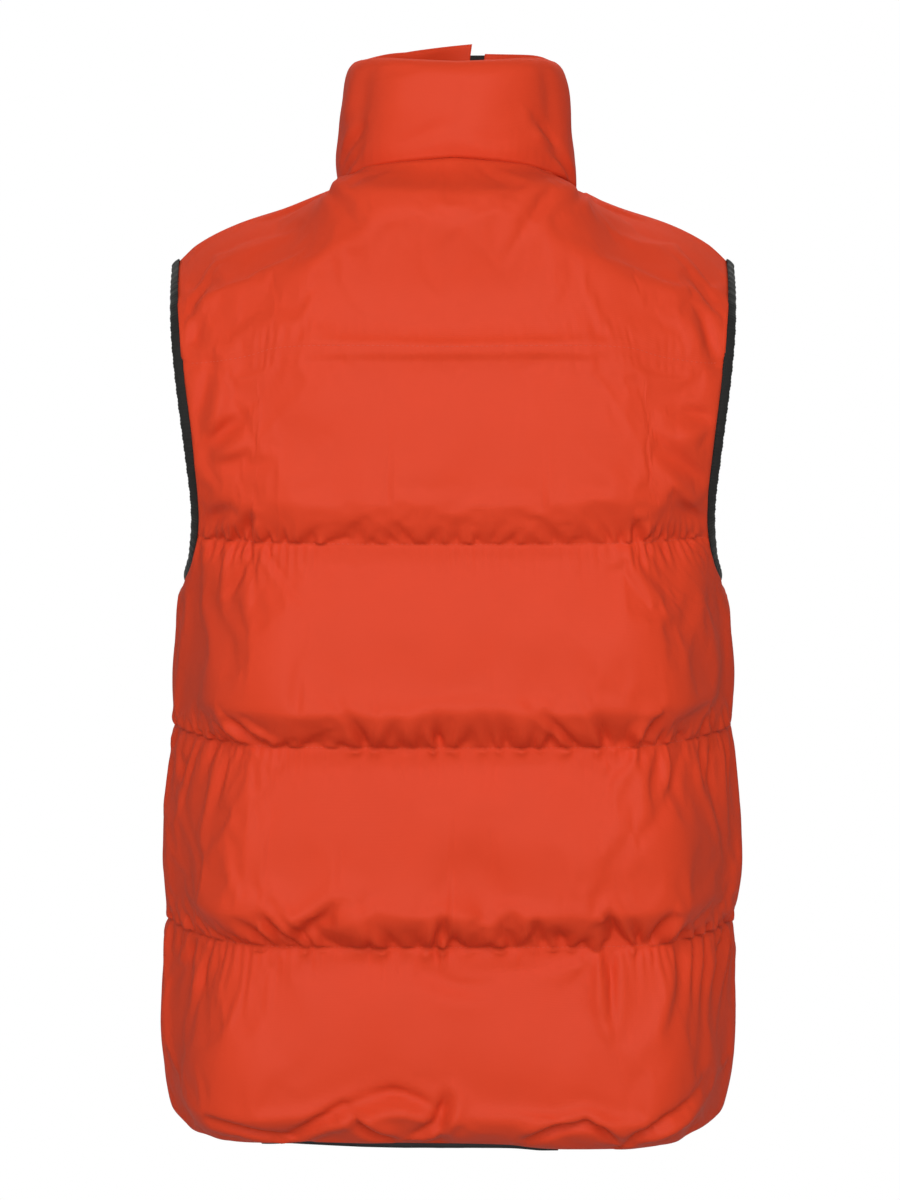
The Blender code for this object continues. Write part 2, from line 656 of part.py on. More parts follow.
# The collar's own section, from its foot to its top: share of the height, and how far the
# outer and the inner cloth stand off the middle.
CollarLevel = namedtuple("CollarLevel", "up outer inner lean")
COLLAR_LEVELS = (
    CollarLevel(0.000, COLLAR_FOOT_HALF, COLLAR_FOOT_HALF, 0.0),
    CollarLevel(0.060, 0.0042, 0.0034, 0.0),
    CollarLevel(0.170, 0.0066, 0.0056, 0.0),
    CollarLevel(0.380, 0.0074, 0.0070, 0.0006),
    CollarLevel(0.620, 0.0074, 0.0070, 0.0014),
    CollarLevel(0.800, 0.0068, 0.0064, 0.0028),
    CollarLevel(0.920, 0.0056, 0.0052, 0.0062),
    CollarLevel(0.980, 0.0034, 0.0034, 0.0092),
    CollarLevel(1.000, 0.0, 0.0, 0.0105),
)
COLLAR_LEFT_PEAK = 0.010  # the wearer's left front corner stands this much higher
COLLAR_END_TAPER = 0.036  # how far from the zip the padding comes up
COLLAR_QUARTER = 0.12  # length of a quarter of the collar, about
COLLAR_RIPPLE = 0.0008
COLLAR_BACK_LEAN = -0.003  # sideways lean of the back of the collar, from its foot to its top


def collar_station(turn, sign):
    """Foot, top and outward way of the collar, turn degrees round from the centre back."""
    foot = neckline(turn, lift=COLLAR_FOOT, widen=-COLLAR_FOOT_HALF)
    top = neckline(turn, widen=COLLAR_TOP_NARROWING)
    top.z = read(NECKLINE, "collar_top", turn)
    if sign > 0:
        top.z += COLLAR_LEFT_PEAK * ease((turn - 130.0) / 50.0)
    for point in (foot, top):
        point.x = sign * max(point.x, FRONT_EDGE)
    step = 1.0
    ahead = neckline(min(turn + step, 180.0)) - neckline(max(turn - step, 0.0))
    outward = Vector((-ahead.y, ahead.x, 0)).normalized()
    outward.x *= sign
    return foot, top, outward


def collar_section(turn, sign):
    """The closed section of the collar at one station, outside first and then back down."""
    foot, top, outward = collar_station(turn, sign)
    pinch = ease((180.0 - turn) / 90.0 * COLLAR_QUARTER / COLLAR_END_TAPER)
    ripple = COLLAR_RIPPLE * math.sin(turn * 0.21 + sign)
    to_front = ease((turn - 90.0) / 90.0)

    def stand(level, padding, side):
        """A point at a level, off the middle by its padding, on the outer or the inner side."""
        point = foot.lerp(top, level.up)
        back_lean = COLLAR_BACK_LEAN * level.up
        point.x += back_lean + (zip_centre(point.z) - back_lean) * to_front
        thick = min(padding, COLLAR_FOOT_HALF) * (1 - pinch) + padding * pinch
        return point + outward * (side * thick - level.lean * pinch)

    loop = []
    for level in COLLAR_LEVELS:
        wave = ripple * level.up * (1 - level.up)
        loop.append(stand(level, level.outer + wave, 1))
    for level in reversed(COLLAR_LEVELS[:-1]):
        loop.append(stand(level, level.inner, -1))
    return loop


def build_collar(collection):
    """A padded stand collar, open at the zip."""
    turns = [180.0 * (1 - (1 - i / COLLAR_STATIONS) ** 1.15) for i in range(COLLAR_STATIONS + 1)]
    loops = [collar_section(turn, -1) for turn in reversed(turns[1:])]
    loops += [collar_section(turn, 1) for turn in turns]
    mesh = bmesh.new()
    sweep(mesh, loops, closed=False)
    return add_object("collar", mesh, SHELL, collection)


# ---- armhole bindings ---------------------------------------------------------------------
def armhole_station(cut, row):
    """A point of the armhole's edge, the way out across it, and the normal there."""
    point = cut.point(1.0, row)
    outward = point - cut.point(0.97, row)
    below, above = max(row - 0.01, UNDERARM_ROW), min(row + 0.01, TOP_ROW)
    along = (cut.point(1.0, above) - cut.point(1.0, below)).normalized()
    normal = cut.side_normal(1.0, row) if row <= 4.0 else outward.cross(along)
    normal = (normal - along * normal.dot(along)).normalized()
    if normal.x + normal.z < 0:
        normal.negate()
    across = normal.cross(along)
    to_middle = Vector((0.0, -point.y, (UNDERARM_HEIGHT + SHOULDER_TIP.z) / 2 - point.z))
    if across.dot(outward.normalized() + to_middle.normalized()) < 0:
        across.negate()
    return point, across, normal


def armhole_loop():
    """Stations round the armhole, one for each row: up the back edge and down the front one."""
    rows = [row for row in panel_rows() if row >= UNDERARM_ROW]
    up_back = [armhole_station(PanelCut(1), row) for row in rows]
    down_front = [armhole_station(PanelCut(-1), row) for row in reversed(rows[1:-1])]
    return up_back + down_front


def smoothed(stations, passes):
    """Evens out the ways of a closed ring of stations, leaving its points alone."""
    count = len(stations)
    for _ in range(passes):
        stations = [
            (
                stations[i][0],
                (stations[i - 1][1] + stations[i][1] + stations[(i + 1) % count][1]).normalized(),
                (stations[i - 1][2] + stations[i][2] + stations[(i + 1) % count][2]).normalized(),
            )
            for i in range(count)
        ]
    return stations


def build_binding(name, sign, collection):
    """A rounded black strip round one armhole, just off the panels' edges."""
    stations = smoothed(armhole_loop(), passes=1)
    half_width, half_thick = BINDING_WIDTH / 2, BINDING_THICKNESS / 2
    section = (
        (-0.85, 0.80), (0.0, 1.0), (0.80, 0.75), (1.0, 0.0),
        (0.80, -0.75), (0.0, -1.0), (-0.85, -0.80), (-1.0, 0.0),
    )
    loops = []
    for point, across, normal in stations:
        middle = point + across * (half_width + BINDING_CLEARANCE)
        loop = [middle + across * half_width * a + normal * half_thick * b for a, b in section]
        loops.append([Vector((p.x * sign, p.y, p.z)) for p in loop])
    mesh = bmesh.new()
    sweep(mesh, loops, closed=True)
    return add_object(name, mesh, BLACK_TRIM, collection)


# ---- hem lining ---------------------------------------------------------------------------
HEM_LINING_FROM_X = -0.068
HEM_LINING_TO_X = 0.120
HEM_LINING_THICKNESS = 0.0012
HEM_LINING_SHOWS = 0.0052
HEM_LINING_TUCK = 0.024
HEM_LINING_COLUMNS = 24


def build_hem_lining(back, collection):
    """The strip of black lining that hangs just below the back hem, inside the shell."""
    loops = []
    for number in range(HEM_LINING_COLUMNS + 1):
        part = number / HEM_LINING_COLUMNS
        x = HEM_LINING_FROM_X + (HEM_LINING_TO_X - HEM_LINING_FROM_X) * part
        share, sign = abs(x) / BACK_SECTIONS[0].corner_x * CORNER, math.copysign(1.0, x)
        point, normal = back.cut.point(share, 0.0), back.cut.side_normal(share, 0.0)
        point.x *= sign
        point.z -= read(HEM_WAVE, "drop", point.x)
        shows = HEM_LINING_SHOWS * math.sin(math.pi * (0.08 + 0.84 * part)) ** 0.5
        near = point - normal * (WALL + 3 * SEAM_GAP)
        far = near - normal * HEM_LINING_THICKNESS
        drop, tuck = Vector((0, 0, -shows)), Vector((0, 0, HEM_LINING_TUCK))
        loops.append([near + drop, near + tuck, far + tuck, far + drop])
    mesh = bmesh.new()
    sweep(mesh, loops, closed=False)
    return add_object("hem_lining", mesh, BLACK_LINING, collection)


# ---- zip ----------------------------------------------------------------------------------
SLIDER_HEIGHT = 0.0095
SLIDER_WIDTH = 0.0088
SLIDER_PLATE = 0.0013
SLIDER_NECK_WIDTH = 0.0048
SLIDER_NECK_DEPTH = 0.0034
SLIDER_TOP_MARGIN = 0.0090  # collar edge to the top of the slider
EAR_WIDTH = 0.0012
EAR_REACH = 0.0034
EAR_OFFSET = 0.0030
EAR_HEIGHT = 0.0030
SLIDER_NECK_INSET = 0.0006
OVERLAP = 0.0002  # how deep joined solids run into each other
PIN_RADIUS = 0.0007
PIN_REACH = 0.0024  # slider plate to the pin's middle
PULL_WIDTH = 0.0072
PULL_LENGTH = 0.026  # from the pin to the tip
PULL_THICKNESS = 0.0018
PULL_EYE_RADIUS = 0.0011
PULL_BOSS_RADIUS = 0.0020  # clears the slider's plate all the way round
PULL_NECK_WIDTH = 0.0040
PULL_NECK_LENGTH = 0.0080
PULL_SLOT_WIDTH = 0.0036
PULL_SLOT_LENGTH = 0.0090
PULL_SLOT_DROP = 0.0165  # pin to the slot's middle
CUT_THROUGH = 0.02
ZIP_STATIONS = 40
COLLAR_ZIP_STATIONS = 8
ZIP_HEAD = 0.002  # collar edge to the end of the tapes
ZIP_FOOT = 0.004  # hem edge to the end of the zip


def zip_stations():
    """Points up the zip's middle, from just above the hem to the collar's top edge."""
    cut = PanelCut(-1)
    neck = cut.point(0.0, TOP_ROW)
    top = collar_station(180.0, -1)[1].z
    heights = []
    foot, head = HEM_HEIGHT + ZIP_FOOT, top - ZIP_HEAD
    for low, high, count in ((foot, neck.z, ZIP_STATIONS), (neck.z, head, COLLAR_ZIP_STATIONS)):
        heights += [low + (high - low) * i / count for i in range(count)]
    heights.append(head)
    stations = []
    for height in heights:
        if height <= QUILT_HEIGHTS[4]:
            y = read(FRONT_SECTIONS, "centre_y", height)
        elif height < neck.z:
            low, high = 4.0, TOP_ROW
            for _ in range(24):
                middle = (low + high) / 2
                low, high = (middle, high) if cut.point(0.0, middle).z < height else (low, middle)
            y = cut.point(0.0, low).y
        else:
            y = neck.y - COLLAR_TOP_NARROWING * (height - neck.z) / (top - neck.z)
        stations.append(Vector((zip_centre(height), y, height)))
    return stations


def build_strip(name, stations, from_x, to_x, thickness, finish, collection):
    """A flat strip up the zip, between two distances from its middle."""
    half = thickness / 2
    loops = []
    for point in stations:
        corners = ((from_x, -half), (to_x, -half), (to_x, half), (from_x, half))
        loops.append([point + Vector((x, y, 0)) for x, y in corners])
    mesh = bmesh.new()
    sweep(mesh, loops, closed=False)
    return add_object(name, mesh, finish, collection)


def box(mesh_name, size, place):
    """A plain box object, for joining."""
    mesh = bmesh.new()
    bmesh.ops.create_cube(mesh, size=1.0)
    bmesh.ops.scale(mesh, vec=size, verts=mesh.verts)
    bmesh.ops.translate(mesh, vec=place, verts=mesh.verts)
    data = bpy.data.meshes.new(mesh_name)
    mesh.to_mesh(data)
    mesh.free()
    return bpy.data.objects.new(mesh_name, data)


def rod(mesh_name, radius, length, place):
    """A round bar along X."""
    mesh = bmesh.new()
    bmesh.ops.create_cone(
        mesh, cap_ends=True, segments=16, radius1=radius, radius2=radius, depth=length
    )
    turn = Vector((0, 0, 1)).rotation_difference(Vector((1, 0, 0))).to_matrix()
    bmesh.ops.rotate(mesh, cent=(0, 0, 0), matrix=turn, verts=mesh.verts)
    bmesh.ops.translate(mesh, vec=place, verts=mesh.verts)
    data = bpy.data.meshes.new(mesh_name)
    mesh.to_mesh(data)
    mesh.free()
    return bpy.data.objects.new(mesh_name, data)


def combine(made, tools, operation, cutters):
    """Applies a row of Booleans as modifiers that stay on the object."""
    for tool in tools:
        cutters.objects.link(tool)
        tool.hide_render = True
        tool.display_type = "WIRE"
        modifier = made.modifiers.new(tool.name, "BOOLEAN")
        modifier.operation = operation
        modifier.object = tool
        modifier.solver = "EXACT"


def build_slider(place, collection, cutters):
    """Slider body: two plates on a neck, with two ears and the pin that the pull turns on."""
    deep = (SLIDER_NECK_DEPTH + SLIDER_PLATE) / 2
    slider = box("zip_slider", (SLIDER_WIDTH, SLIDER_PLATE, SLIDER_HEIGHT), place)
    slider.location = (0, 0, 0)
    for vert in slider.data.vertices:
        vert.co.y -= deep
    neck_depth = SLIDER_NECK_DEPTH + 2 * OVERLAP
    neck_size = (SLIDER_NECK_WIDTH, neck_depth, SLIDER_HEIGHT - SLIDER_NECK_INSET)
    rear_size = (SLIDER_WIDTH, SLIDER_PLATE, SLIDER_HEIGHT)
    front = -deep - SLIDER_PLATE / 2
    ear_middle = front - EAR_REACH / 2 + OVERLAP
    tools = [
        box("slider_neck", neck_size, place),
        box("slider_rear_plate", rear_size, place + Vector((0, deep, 0))),
    ]
    for side in (-1, 1):
        ear = Vector((side * EAR_OFFSET, ear_middle, 0))
        tools.append(box(f"slider_ear_{side}", (EAR_WIDTH, EAR_REACH, EAR_HEIGHT), place + ear))
    pin = place + Vector((0, front - PIN_REACH, 0))
    tools.append(rod("slider_pin", PIN_RADIUS, 2 * EAR_OFFSET, pin))
    slider.data.materials.append(material("zip_slider", DARK_METAL))
    collection.objects.link(slider)
    combine(slider, tools, "UNION", cutters)
    return pin


def build_pull(pin, collection, cutters):
    """The pull tab, hanging from the slider's pin by a round boss. Its origin is on the pin."""
    tab = rod("zip_pull", PULL_BOSS_RADIUS, PULL_NECK_WIDTH, Vector())
    tab.location = pin
    neck_middle = Vector((0, 0, -(PULL_EYE_RADIUS + OVERLAP) - PULL_NECK_LENGTH / 2))
    neck = box("pull_neck", (PULL_NECK_WIDTH, PULL_THICKNESS, PULL_NECK_LENGTH), neck_middle)
    blade = PULL_LENGTH - PULL_NECK_LENGTH
    plate_middle = Vector((0, 0, -PULL_LENGTH + blade / 2))
    plate = box("pull_blade", (PULL_WIDTH, PULL_THICKNESS, blade), plate_middle)
    hole = rod("pull_eye", PULL_EYE_RADIUS, CUT_THROUGH, Vector())
    slot_middle = Vector((0, 0, -PULL_SLOT_DROP))
    slot = box("pull_slot", (PULL_SLOT_WIDTH, CUT_THROUGH, PULL_SLOT_LENGTH), slot_middle)
    for tool in (neck, plate, hole, slot):
        tool.parent = tab
    tab.data.materials.append(material("zip_pull", BLACK_TEETH))
    collection.objects.link(tab)
    combine(tab, (neck, plate), "UNION", cutters)
    combine(tab, (hole, slot), "DIFFERENCE", cutters)


def build_zip(collection, cutters):
    """Tapes, closed teeth, slider and pull."""
    stations = zip_stations()
    slider_top = stations[-1].z - SLIDER_TOP_MARGIN
    slider_middle = slider_top - SLIDER_HEIGHT / 2
    chain_end = slider_top - SLIDER_HEIGHT - SEAM_GAP
    chain = [point for point in stations if point.z < chain_end - 0.004]
    near = min(stations, key=lambda point: abs(point.z - chain_end))
    chain.append(Vector((zip_centre(chain_end), near.y, chain_end)))
    for name, sign in (("zip_tape_left", 1), ("zip_tape_right", -1)):
        inner, outer = sorted((sign * TAPE_INNER, sign * TAPE_OUTER))
        build_strip(name, stations, inner, outer, TAPE_THICKNESS, BLACK_TRIM, collection)
    build_strip(
        "zip_chain", chain, -ZIP_HALF_WIDTH, ZIP_HALF_WIDTH, CHAIN_THICKNESS, BLACK_TEETH, collection
    )
    near = min(stations, key=lambda point: abs(point.z - slider_middle))
    place = Vector((zip_centre(slider_middle), near.y, slider_middle))
    pin = build_slider(place, collection, cutters)
    build_pull(pin, collection, cutters)


def main():
    """Clears the scene and builds every piece."""
    for old in list(bpy.data.objects):
        bpy.data.objects.remove(old)
    collection = bpy.data.collections.new("puffer_vest")
    cutters = bpy.data.collections.new("cutters")
    for group in (collection, cutters):
        bpy.context.scene.collection.children.link(group)
    back = Panel("back", 1, (-1, 1), BACK_COLUMNS, BACK_GATHERS, BACK_CREASES)
    build_panel(back, collection)
    for name, sign in (("front_left", 1), ("front_right", -1)):
        front = Panel(name, -1, (sign,), FRONT_COLUMNS, FRONT_GATHERS, FRONT_CREASES)
        build_panel(front, collection)
    build_collar(collection)
    build_binding("armhole_binding_left", 1, collection)
    build_binding("armhole_binding_right", -1, collection)
    build_hem_lining(back, collection)
    build_zip(collection, cutters)


main()
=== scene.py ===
"""Looks of a sleeveless puffer jacket, zipped shut and filled out as when worn, seen from the back.

Metres, +Z up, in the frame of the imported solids: the front faces -Y, the back +Y, and +X is the
wearer's left. Each quilted panel is worked out again from its cut at a fine pitch, and then gets
its hanging baffles, the puckers along its stitch lines and its creases.
"""
from __future__ import annotations

import logging
import math
from dataclasses import dataclass, replace
from enum import Enum
from typing import Callable, Sequence

import bmesh
import bpy
import numpy as np
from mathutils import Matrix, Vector


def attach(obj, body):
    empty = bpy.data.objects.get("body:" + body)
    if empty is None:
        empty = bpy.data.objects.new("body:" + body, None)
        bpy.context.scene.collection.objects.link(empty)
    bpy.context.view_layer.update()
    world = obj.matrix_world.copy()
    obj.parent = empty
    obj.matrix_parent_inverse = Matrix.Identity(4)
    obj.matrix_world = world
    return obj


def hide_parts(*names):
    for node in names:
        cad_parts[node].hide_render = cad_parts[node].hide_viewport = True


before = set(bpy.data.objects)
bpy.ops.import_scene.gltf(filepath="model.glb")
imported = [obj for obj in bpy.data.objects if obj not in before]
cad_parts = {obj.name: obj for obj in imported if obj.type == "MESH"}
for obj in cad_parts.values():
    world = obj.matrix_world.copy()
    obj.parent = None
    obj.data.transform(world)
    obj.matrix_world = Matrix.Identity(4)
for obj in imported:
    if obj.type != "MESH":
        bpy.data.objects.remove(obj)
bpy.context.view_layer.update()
LOG = logging.getLogger("puffer_vest")
Array = np.ndarray
Triple = tuple[float, float, float]


# ---- driving sizes, as in the construction ----
WALL = 0.002
HEM_HEIGHT = -0.669
QUILT_HEIGHTS = (HEM_HEIGHT, -0.528, -0.386, -0.2435, -0.106)
BAFFLE_HEIGHT = 0.14
YOKE_LINE = 4  # the top line of quilting; line 0 is the hem
TOP_ROW = 5.0
YOKE_LINE_DIP = 0.012
UNDERARM_HEIGHT = -0.2815
UNDERARM_ROW = 2.733
HEM_SWAY = 0.004
SHOULDER_TIP = Vector((0.196, 0.0, -0.052))
ARMHOLE_MIDDLE = (UNDERARM_HEIGHT + SHOULDER_TIP.z) / 2
ARMHOLE_HALF = (SHOULDER_TIP.z - UNDERARM_HEIGHT) / 2  # half of its height
NECK_HALF_WIDTH = 0.0785
NECK_BACK_Y = 0.080
NECK_FRONT_Y = -0.088
NECK_SQUARENESS = 2.5
CORNER = 0.45
CORNER_EASE = 0.45
SIDE_ROUNDNESS = 0.8
SIDE_SLANT = 0.35
YOKE_OUTWARD = 0.001
FRONT_EDGE = 0.0078
COLLAR_ZIP_LEAN = -0.018


class Facing(Enum):
    """Which way a panel looks."""

    BACK = 1
    FRONT = -1


class Side(Enum):
    """A side of the wearer."""

    LEFT = 1
    RIGHT = -1


@dataclass(frozen=True)
class Table:
    """Measures in rows. The first column holds the places that the others are read at."""

    columns: tuple[str, ...]
    rows: tuple[tuple[float, ...], ...]

    def column(self, name: str) -> Array:
        """All the values of a named column."""
        return np.array([row[self.columns.index(name)] for row in self.rows])

    def read(self, name: str, at: Array | float) -> Array:
        """A named column at places of the first one, eased between its rows."""
        return resample(self.column(self.columns[0]), self.column(name), at)


# Half sections of the torso at the level of the stitching.
SECTION_COLUMNS = ("height", "side_x", "corner_x", "corner_y", "centre_y")
BACK_SECTIONS = Table(SECTION_COLUMNS, (
    (HEM_HEIGHT, 0.201, 0.151, 0.098, 0.109),
    (-0.590, 0.202, 0.148, 0.101, 0.112),
    (-0.527, 0.205, 0.147, 0.103, 0.114),
    (-0.386, 0.201, 0.138, 0.108, 0.118),
    (UNDERARM_HEIGHT, 0.192, 0.130, 0.110, 0.120),
    (-0.2435, 0.191, 0.128, 0.109, 0.120),
    (-0.180, 0.190, 0.126, 0.107, 0.119),
    (-0.106, 0.190, 0.124, 0.102, 0.114),
))
FRONT_SECTIONS = Table(SECTION_COLUMNS, (
    (HEM_HEIGHT, 0.201, 0.143, -0.102, -0.116),
    (-0.590, 0.202, 0.141, -0.105, -0.120),
    (-0.527, 0.205, 0.140, -0.107, -0.122),
    (-0.386, 0.201, 0.133, -0.110, -0.125),
    (UNDERARM_HEIGHT, 0.192, 0.126, -0.110, -0.125),
    (-0.2435, 0.191, 0.123, -0.109, -0.124),
    (-0.180, 0.190, 0.119, -0.106, -0.121),
    (-0.106, 0.190, 0.117, -0.100, -0.114),
))
# Where the armhole's edge lies sideways.
ARMHOLE_X = Table(("height", "back_x", "front_x"), (
    (UNDERARM_HEIGHT, 0.192, 0.192),
    (-0.262, 0.1840, 0.182),
    (-0.225, 0.178, 0.174),
    (-0.180, 0.181, 0.176),
    (-0.120, 0.1885, 0.184),
    (-0.090, 0.1915, 0.187),
))
# The shoulder seam, from the collar out to the armhole.
SHOULDER_SEAM = Table(("x", "height"), (
    (NECK_HALF_WIDTH, 0.003),
    (0.117, -0.0130),
    (0.155, -0.0255),
    (0.183, -0.0400),
    (SHOULDER_TIP.x, SHOULDER_TIP.z),
))
# Heights round the neckline, by the turn from centre back to centre front.
NECKLINE = Table(("turn", "height", "collar_top"), (
    (0.0, 0.022, 0.0845),
    (45.0, 0.015, 0.0875),
    (90.0, 0.003, 0.0910),
    (135.0, -0.017, 0.0940),
    (180.0, -0.030, 0.0960),
))
# Control points that round the yoke over the shoulder, and how far they lie below its edge.
YOKE_CONTROLS = Table(("share", "back_y", "front_y", "drop"), (
    (0.0, 0.113, -0.105, 0.052),
    (CORNER, 0.100, -0.088, 0.013),
    (0.72, 0.094, -0.082, 0.013),
    (1.0, 0.080, -0.074, 0.022),
))
# The quilted channels from the hem up: how full each is, the share of its height where it is
# fullest, how far it hangs, and how far its lower and upper lines stand off the stitched level.
BAFFLES = Table(("line", "loft", "crown", "sag", "floor_low", "floor_high"), (
    (0, 0.0260, 0.27, 0.015, 0.0005, 0.0),
    (1, 0.0225, 0.25, 0.009, 0.0, 0.0),
    (2, 0.0220, 0.25, 0.008, 0.0, 0.0),
    (3, 0.0145, 0.26, 0.005, 0.0, 0.0088),
    (4, 0.0060, 0.34, 0.000, 0.0088, 0.0),
))
BAFFLE_COUNT = len(BAFFLES.rows)
# How far the back hem hangs below its level line.
HEM_WAVE = Table(("x", "drop"), (
    (-0.200, 0.001),
    (-0.160, 0.005),
    (-0.115, 0.0055),
    (-0.070, 0.0045),
    (-0.040, 0.0015),
    (0.050, 0.0000),
    (0.110, -0.0010),
    (0.130, 0.0010),
    (0.165, 0.0030),
    (0.200, 0.0000),
))
HEM_WAVE_FADE = 0.8
ARMHOLE_DEPTHS = {Facing.BACK: 0.092, Facing.FRONT: 0.090}
SIDE_LOFT = 0.52
SIDE_FROM_X, SIDE_TO_X = 0.145, 0.197
EDGE_REACH = 0.030
ZIP_REACH = 0.022
FRONT_FLAT_WIDTH = 0.13
EDGE_FLOOR = 0.0004
UNDERSIDE_POWER, SLOPE_POWER = 1.35, 2.4  # how the baffle turns under, and how it slopes out
HELD_OUT_FULLNESS = 0.45
YOKE_HEIGHT, NECK_BULGE, NECK_BULGE_AT, NECK_BULGE_FADE = 0.14, 0.0150, 0.033, 0.085
NECK_BULGE_FROM, NECK_STEP, NECK_STEP_REACH = 0.35, 0.0028, 0.0025
NECK_STEP_FROM, NECK_STEP_FADE = 0.55, 0.40  # shares of the neckline's quarter
FULL_LOFT = 0.018  # from this loft on, a baffle has all of its lumps
LUMP_SIZE, SMALL_LUMP_SIZE = 0.085, 0.036
PUCKER_ROWS = 0.75  # how many baffles away a run of puckers counts

# The construction's own rows and columns, which the yoke is evened out on.
ROW_STEPS = (0.0, 0.05, 0.13, 0.25, 0.40, 0.57, 0.75, 0.91)
UNDERARM_ROWS = (2.65, 2.70, UNDERARM_ROW, 2.75, 2.79, 2.86, 2.93)
COARSE_COLUMNS = {Facing.BACK: (15, 20), Facing.FRONT: (9, 13)}
YOKE_EVENING = 10
CUT_SEARCH_STEPS = 16

# The fine grid.
FINE_ROWS = 56  # in each baffle
ROW_CROWDING = 0.5  # how much closer the rows lie at a line of stitching
FOOT_STEPS = (0.0, 0.002, 0.006, 0.013, 0.022, 0.033)  # rows just above the underarm
FINE_FLAT, FINE_SIDE = 66, 57  # columns of half a panel, on the flat and on the side
INSIDE_STRIDE = 3
CORNER_PASSES, CORNER_SPREAD, CORNER_TOP_FADE = 120, 0.09, 0.25
UNDERARM_BLUR, UNDERARM_SPREAD, UNDERARM_EDGE = 0.06, 0.13, 0.12
YOKE_SLACK, FLAT_SLACK = 0.10, 0.35  # how much of the slack the yoke and the flat keep
SLACK_FROM_X = 0.110
YOKE_PUCKER = 0.5


# ---- number helpers ----
def ease(t: Array | float) -> Array:
    """0 below 0, 1 above 1, and a soft step between."""
    t = np.clip(t, 0.0, 1.0)
    return t * t * (3 - 2 * t)


def bell(t: Array) -> Array:
    """1 at 0, and fading away to both sides."""
    return np.exp(-(t**2))


def swell(t: Array) -> Array:
    """0 at 0, 1 at 1, and fading away beyond."""
    return t * np.exp(1 - t)


def cubic_weights(t: Array) -> tuple[Array, Array, Array, Array]:
    """How much the start, the way out, the end and the way in count, part way along a cubic."""
    return 2 * t**3 - 3 * t**2 + 1, t**3 - 2 * t**2 + t, 3 * t**2 - 2 * t**3, t**3 - t**2


def resample(keys: Array, values: Array, at: Array | float) -> Array:
    """Values between keys, eased by a cubic through the rows next to them.

    Args:
        keys: Rising places of the rows.
        values: One value, or one array, for each key.
        at: Where to read. Its shape leads the result's.
    Returns:
        The values there.
    """
    at = np.clip(np.asarray(at, float), keys[0], keys[-1])
    low = np.clip(np.searchsorted(keys, at, side="right") - 1, 0, len(keys) - 2)
    before = np.maximum(np.arange(len(keys)) - 1, 0)
    after = np.minimum(np.arange(len(keys)) + 1, len(keys) - 1)
    spread = (slice(None),) + (None,) * (values.ndim - 1)
    slopes = (values[after] - values[before]) / (keys[after] - keys[before])[spread]
    more = (Ellipsis,) + (None,) * (values.ndim - 1)
    span = (keys[low + 1] - keys[low])[more]
    t = ((at - keys[low]) / (keys[low + 1] - keys[low]))[more]
    here, out, there, into = cubic_weights(t)
    return (here * values[low] + out * span * slopes[low]
            + there * values[low + 1] + into * span * slopes[low + 1])


def hermite(start: Array, start_way: Array, end: Array, end_way: Array, t: Array) -> Array:
    """Points on the cubics that leave start and reach end along the given ways."""
    here, out, there, into = cubic_weights(t[..., None])
    return here * start + out * start_way + there * end + into * end_way


def unit(v: Array) -> Array:
    """Vectors of length one."""
    return v / np.maximum(np.linalg.norm(v, axis=-1, keepdims=True), 1e-12)


def lengths_along(points: Array) -> Array:
    """The length from the first of a row of points to each of them."""
    steps = np.linalg.norm(np.diff(points, axis=0), axis=-1)
    return np.concatenate((np.zeros((1, *steps.shape[1:])), np.cumsum(steps, axis=0)))


def vectors(x: Array | float, y: Array | float, z: Array | float) -> Array:
    """Joins coordinates into vectors."""
    return np.stack(np.broadcast_arrays(x, y, z), axis=-1).astype(float)


def soft_noise(u: Array, v: Array, size: float, seed: int, waves: int = 10) -> Array:
    """Smooth unevenness between about -1 and 1, with humps of about the given size.

    Args:
        u: Place along the cloth, in metres.
        v: Place up the cloth, in metres.
        size: Width of a hump, in metres.
        seed: Picks the pattern.
        waves: How many plain waves are added up.
    Returns:
        The unevenness at each place.
    """
    draw = np.random.default_rng(seed)
    total = np.zeros(np.broadcast(u, v).shape)
    for _ in range(waves):
        way = draw.uniform(0, 2 * math.pi)
        number = math.pi / size * draw.uniform(0.6, 1.5)
        phase = draw.uniform(0, 2 * math.pi)
        total = total + np.sin(number * (u * math.cos(way) + v * math.sin(way)) + phase)
    return total / math.sqrt(waves)


def sway(points: Array) -> Array:
    """The lower half of the vest hangs a little towards the wearer's left.

    Args:
        points: Points of a level vest.
    Returns:
        The moved points.
    """
    knee = QUILT_HEIGHTS[2]
    swayed = points.copy()
    swayed[..., 0] += HEM_SWAY * ease((knee - points[..., 2]) / (knee - HEM_HEIGHT))
    return swayed


# ---- the cut ----
def row_height(row: Array, share: Array) -> Array:
    """Height of a row value between the hem (0) and the yoke line (4).

    Args:
        row: The row value.
        share: How far out, from the centre (0) to the edge (1).
    Returns:
        The height.
    """
    lines = np.array(QUILT_HEIGHTS)
    line = np.clip(np.floor(row).astype(int), 0, len(lines) - 2)
    height = lines[line] + (lines[line + 1] - lines[line]) * (row - line)
    return height - YOKE_LINE_DIP * ease(row - 3.0) * ease((share - 0.2) / 0.8)


def neckline(turn: Array, lift: float = 0.0, widen: float = 0.0) -> Array:
    """Points on the neckline, turn degrees round from the centre back, on the wearer's left.

    Args:
        turn: Degrees from the centre back.
        lift: How far above the seam.
        widen: How far outside it.
    Returns:
        The points.
    """
    power = 2.0 / NECK_SQUARENESS
    depth = np.where(turn <= 90.0, NECK_BACK_Y, -NECK_FRONT_Y) + widen
    cosine, sine = np.cos(np.radians(turn)), np.sin(np.radians(turn))
    x = (NECK_HALF_WIDTH + widen) * np.abs(sine) ** power
    y = np.copysign(depth * np.abs(cosine) ** power, cosine)
    return vectors(x, y, NECKLINE.read("height", turn) + lift)


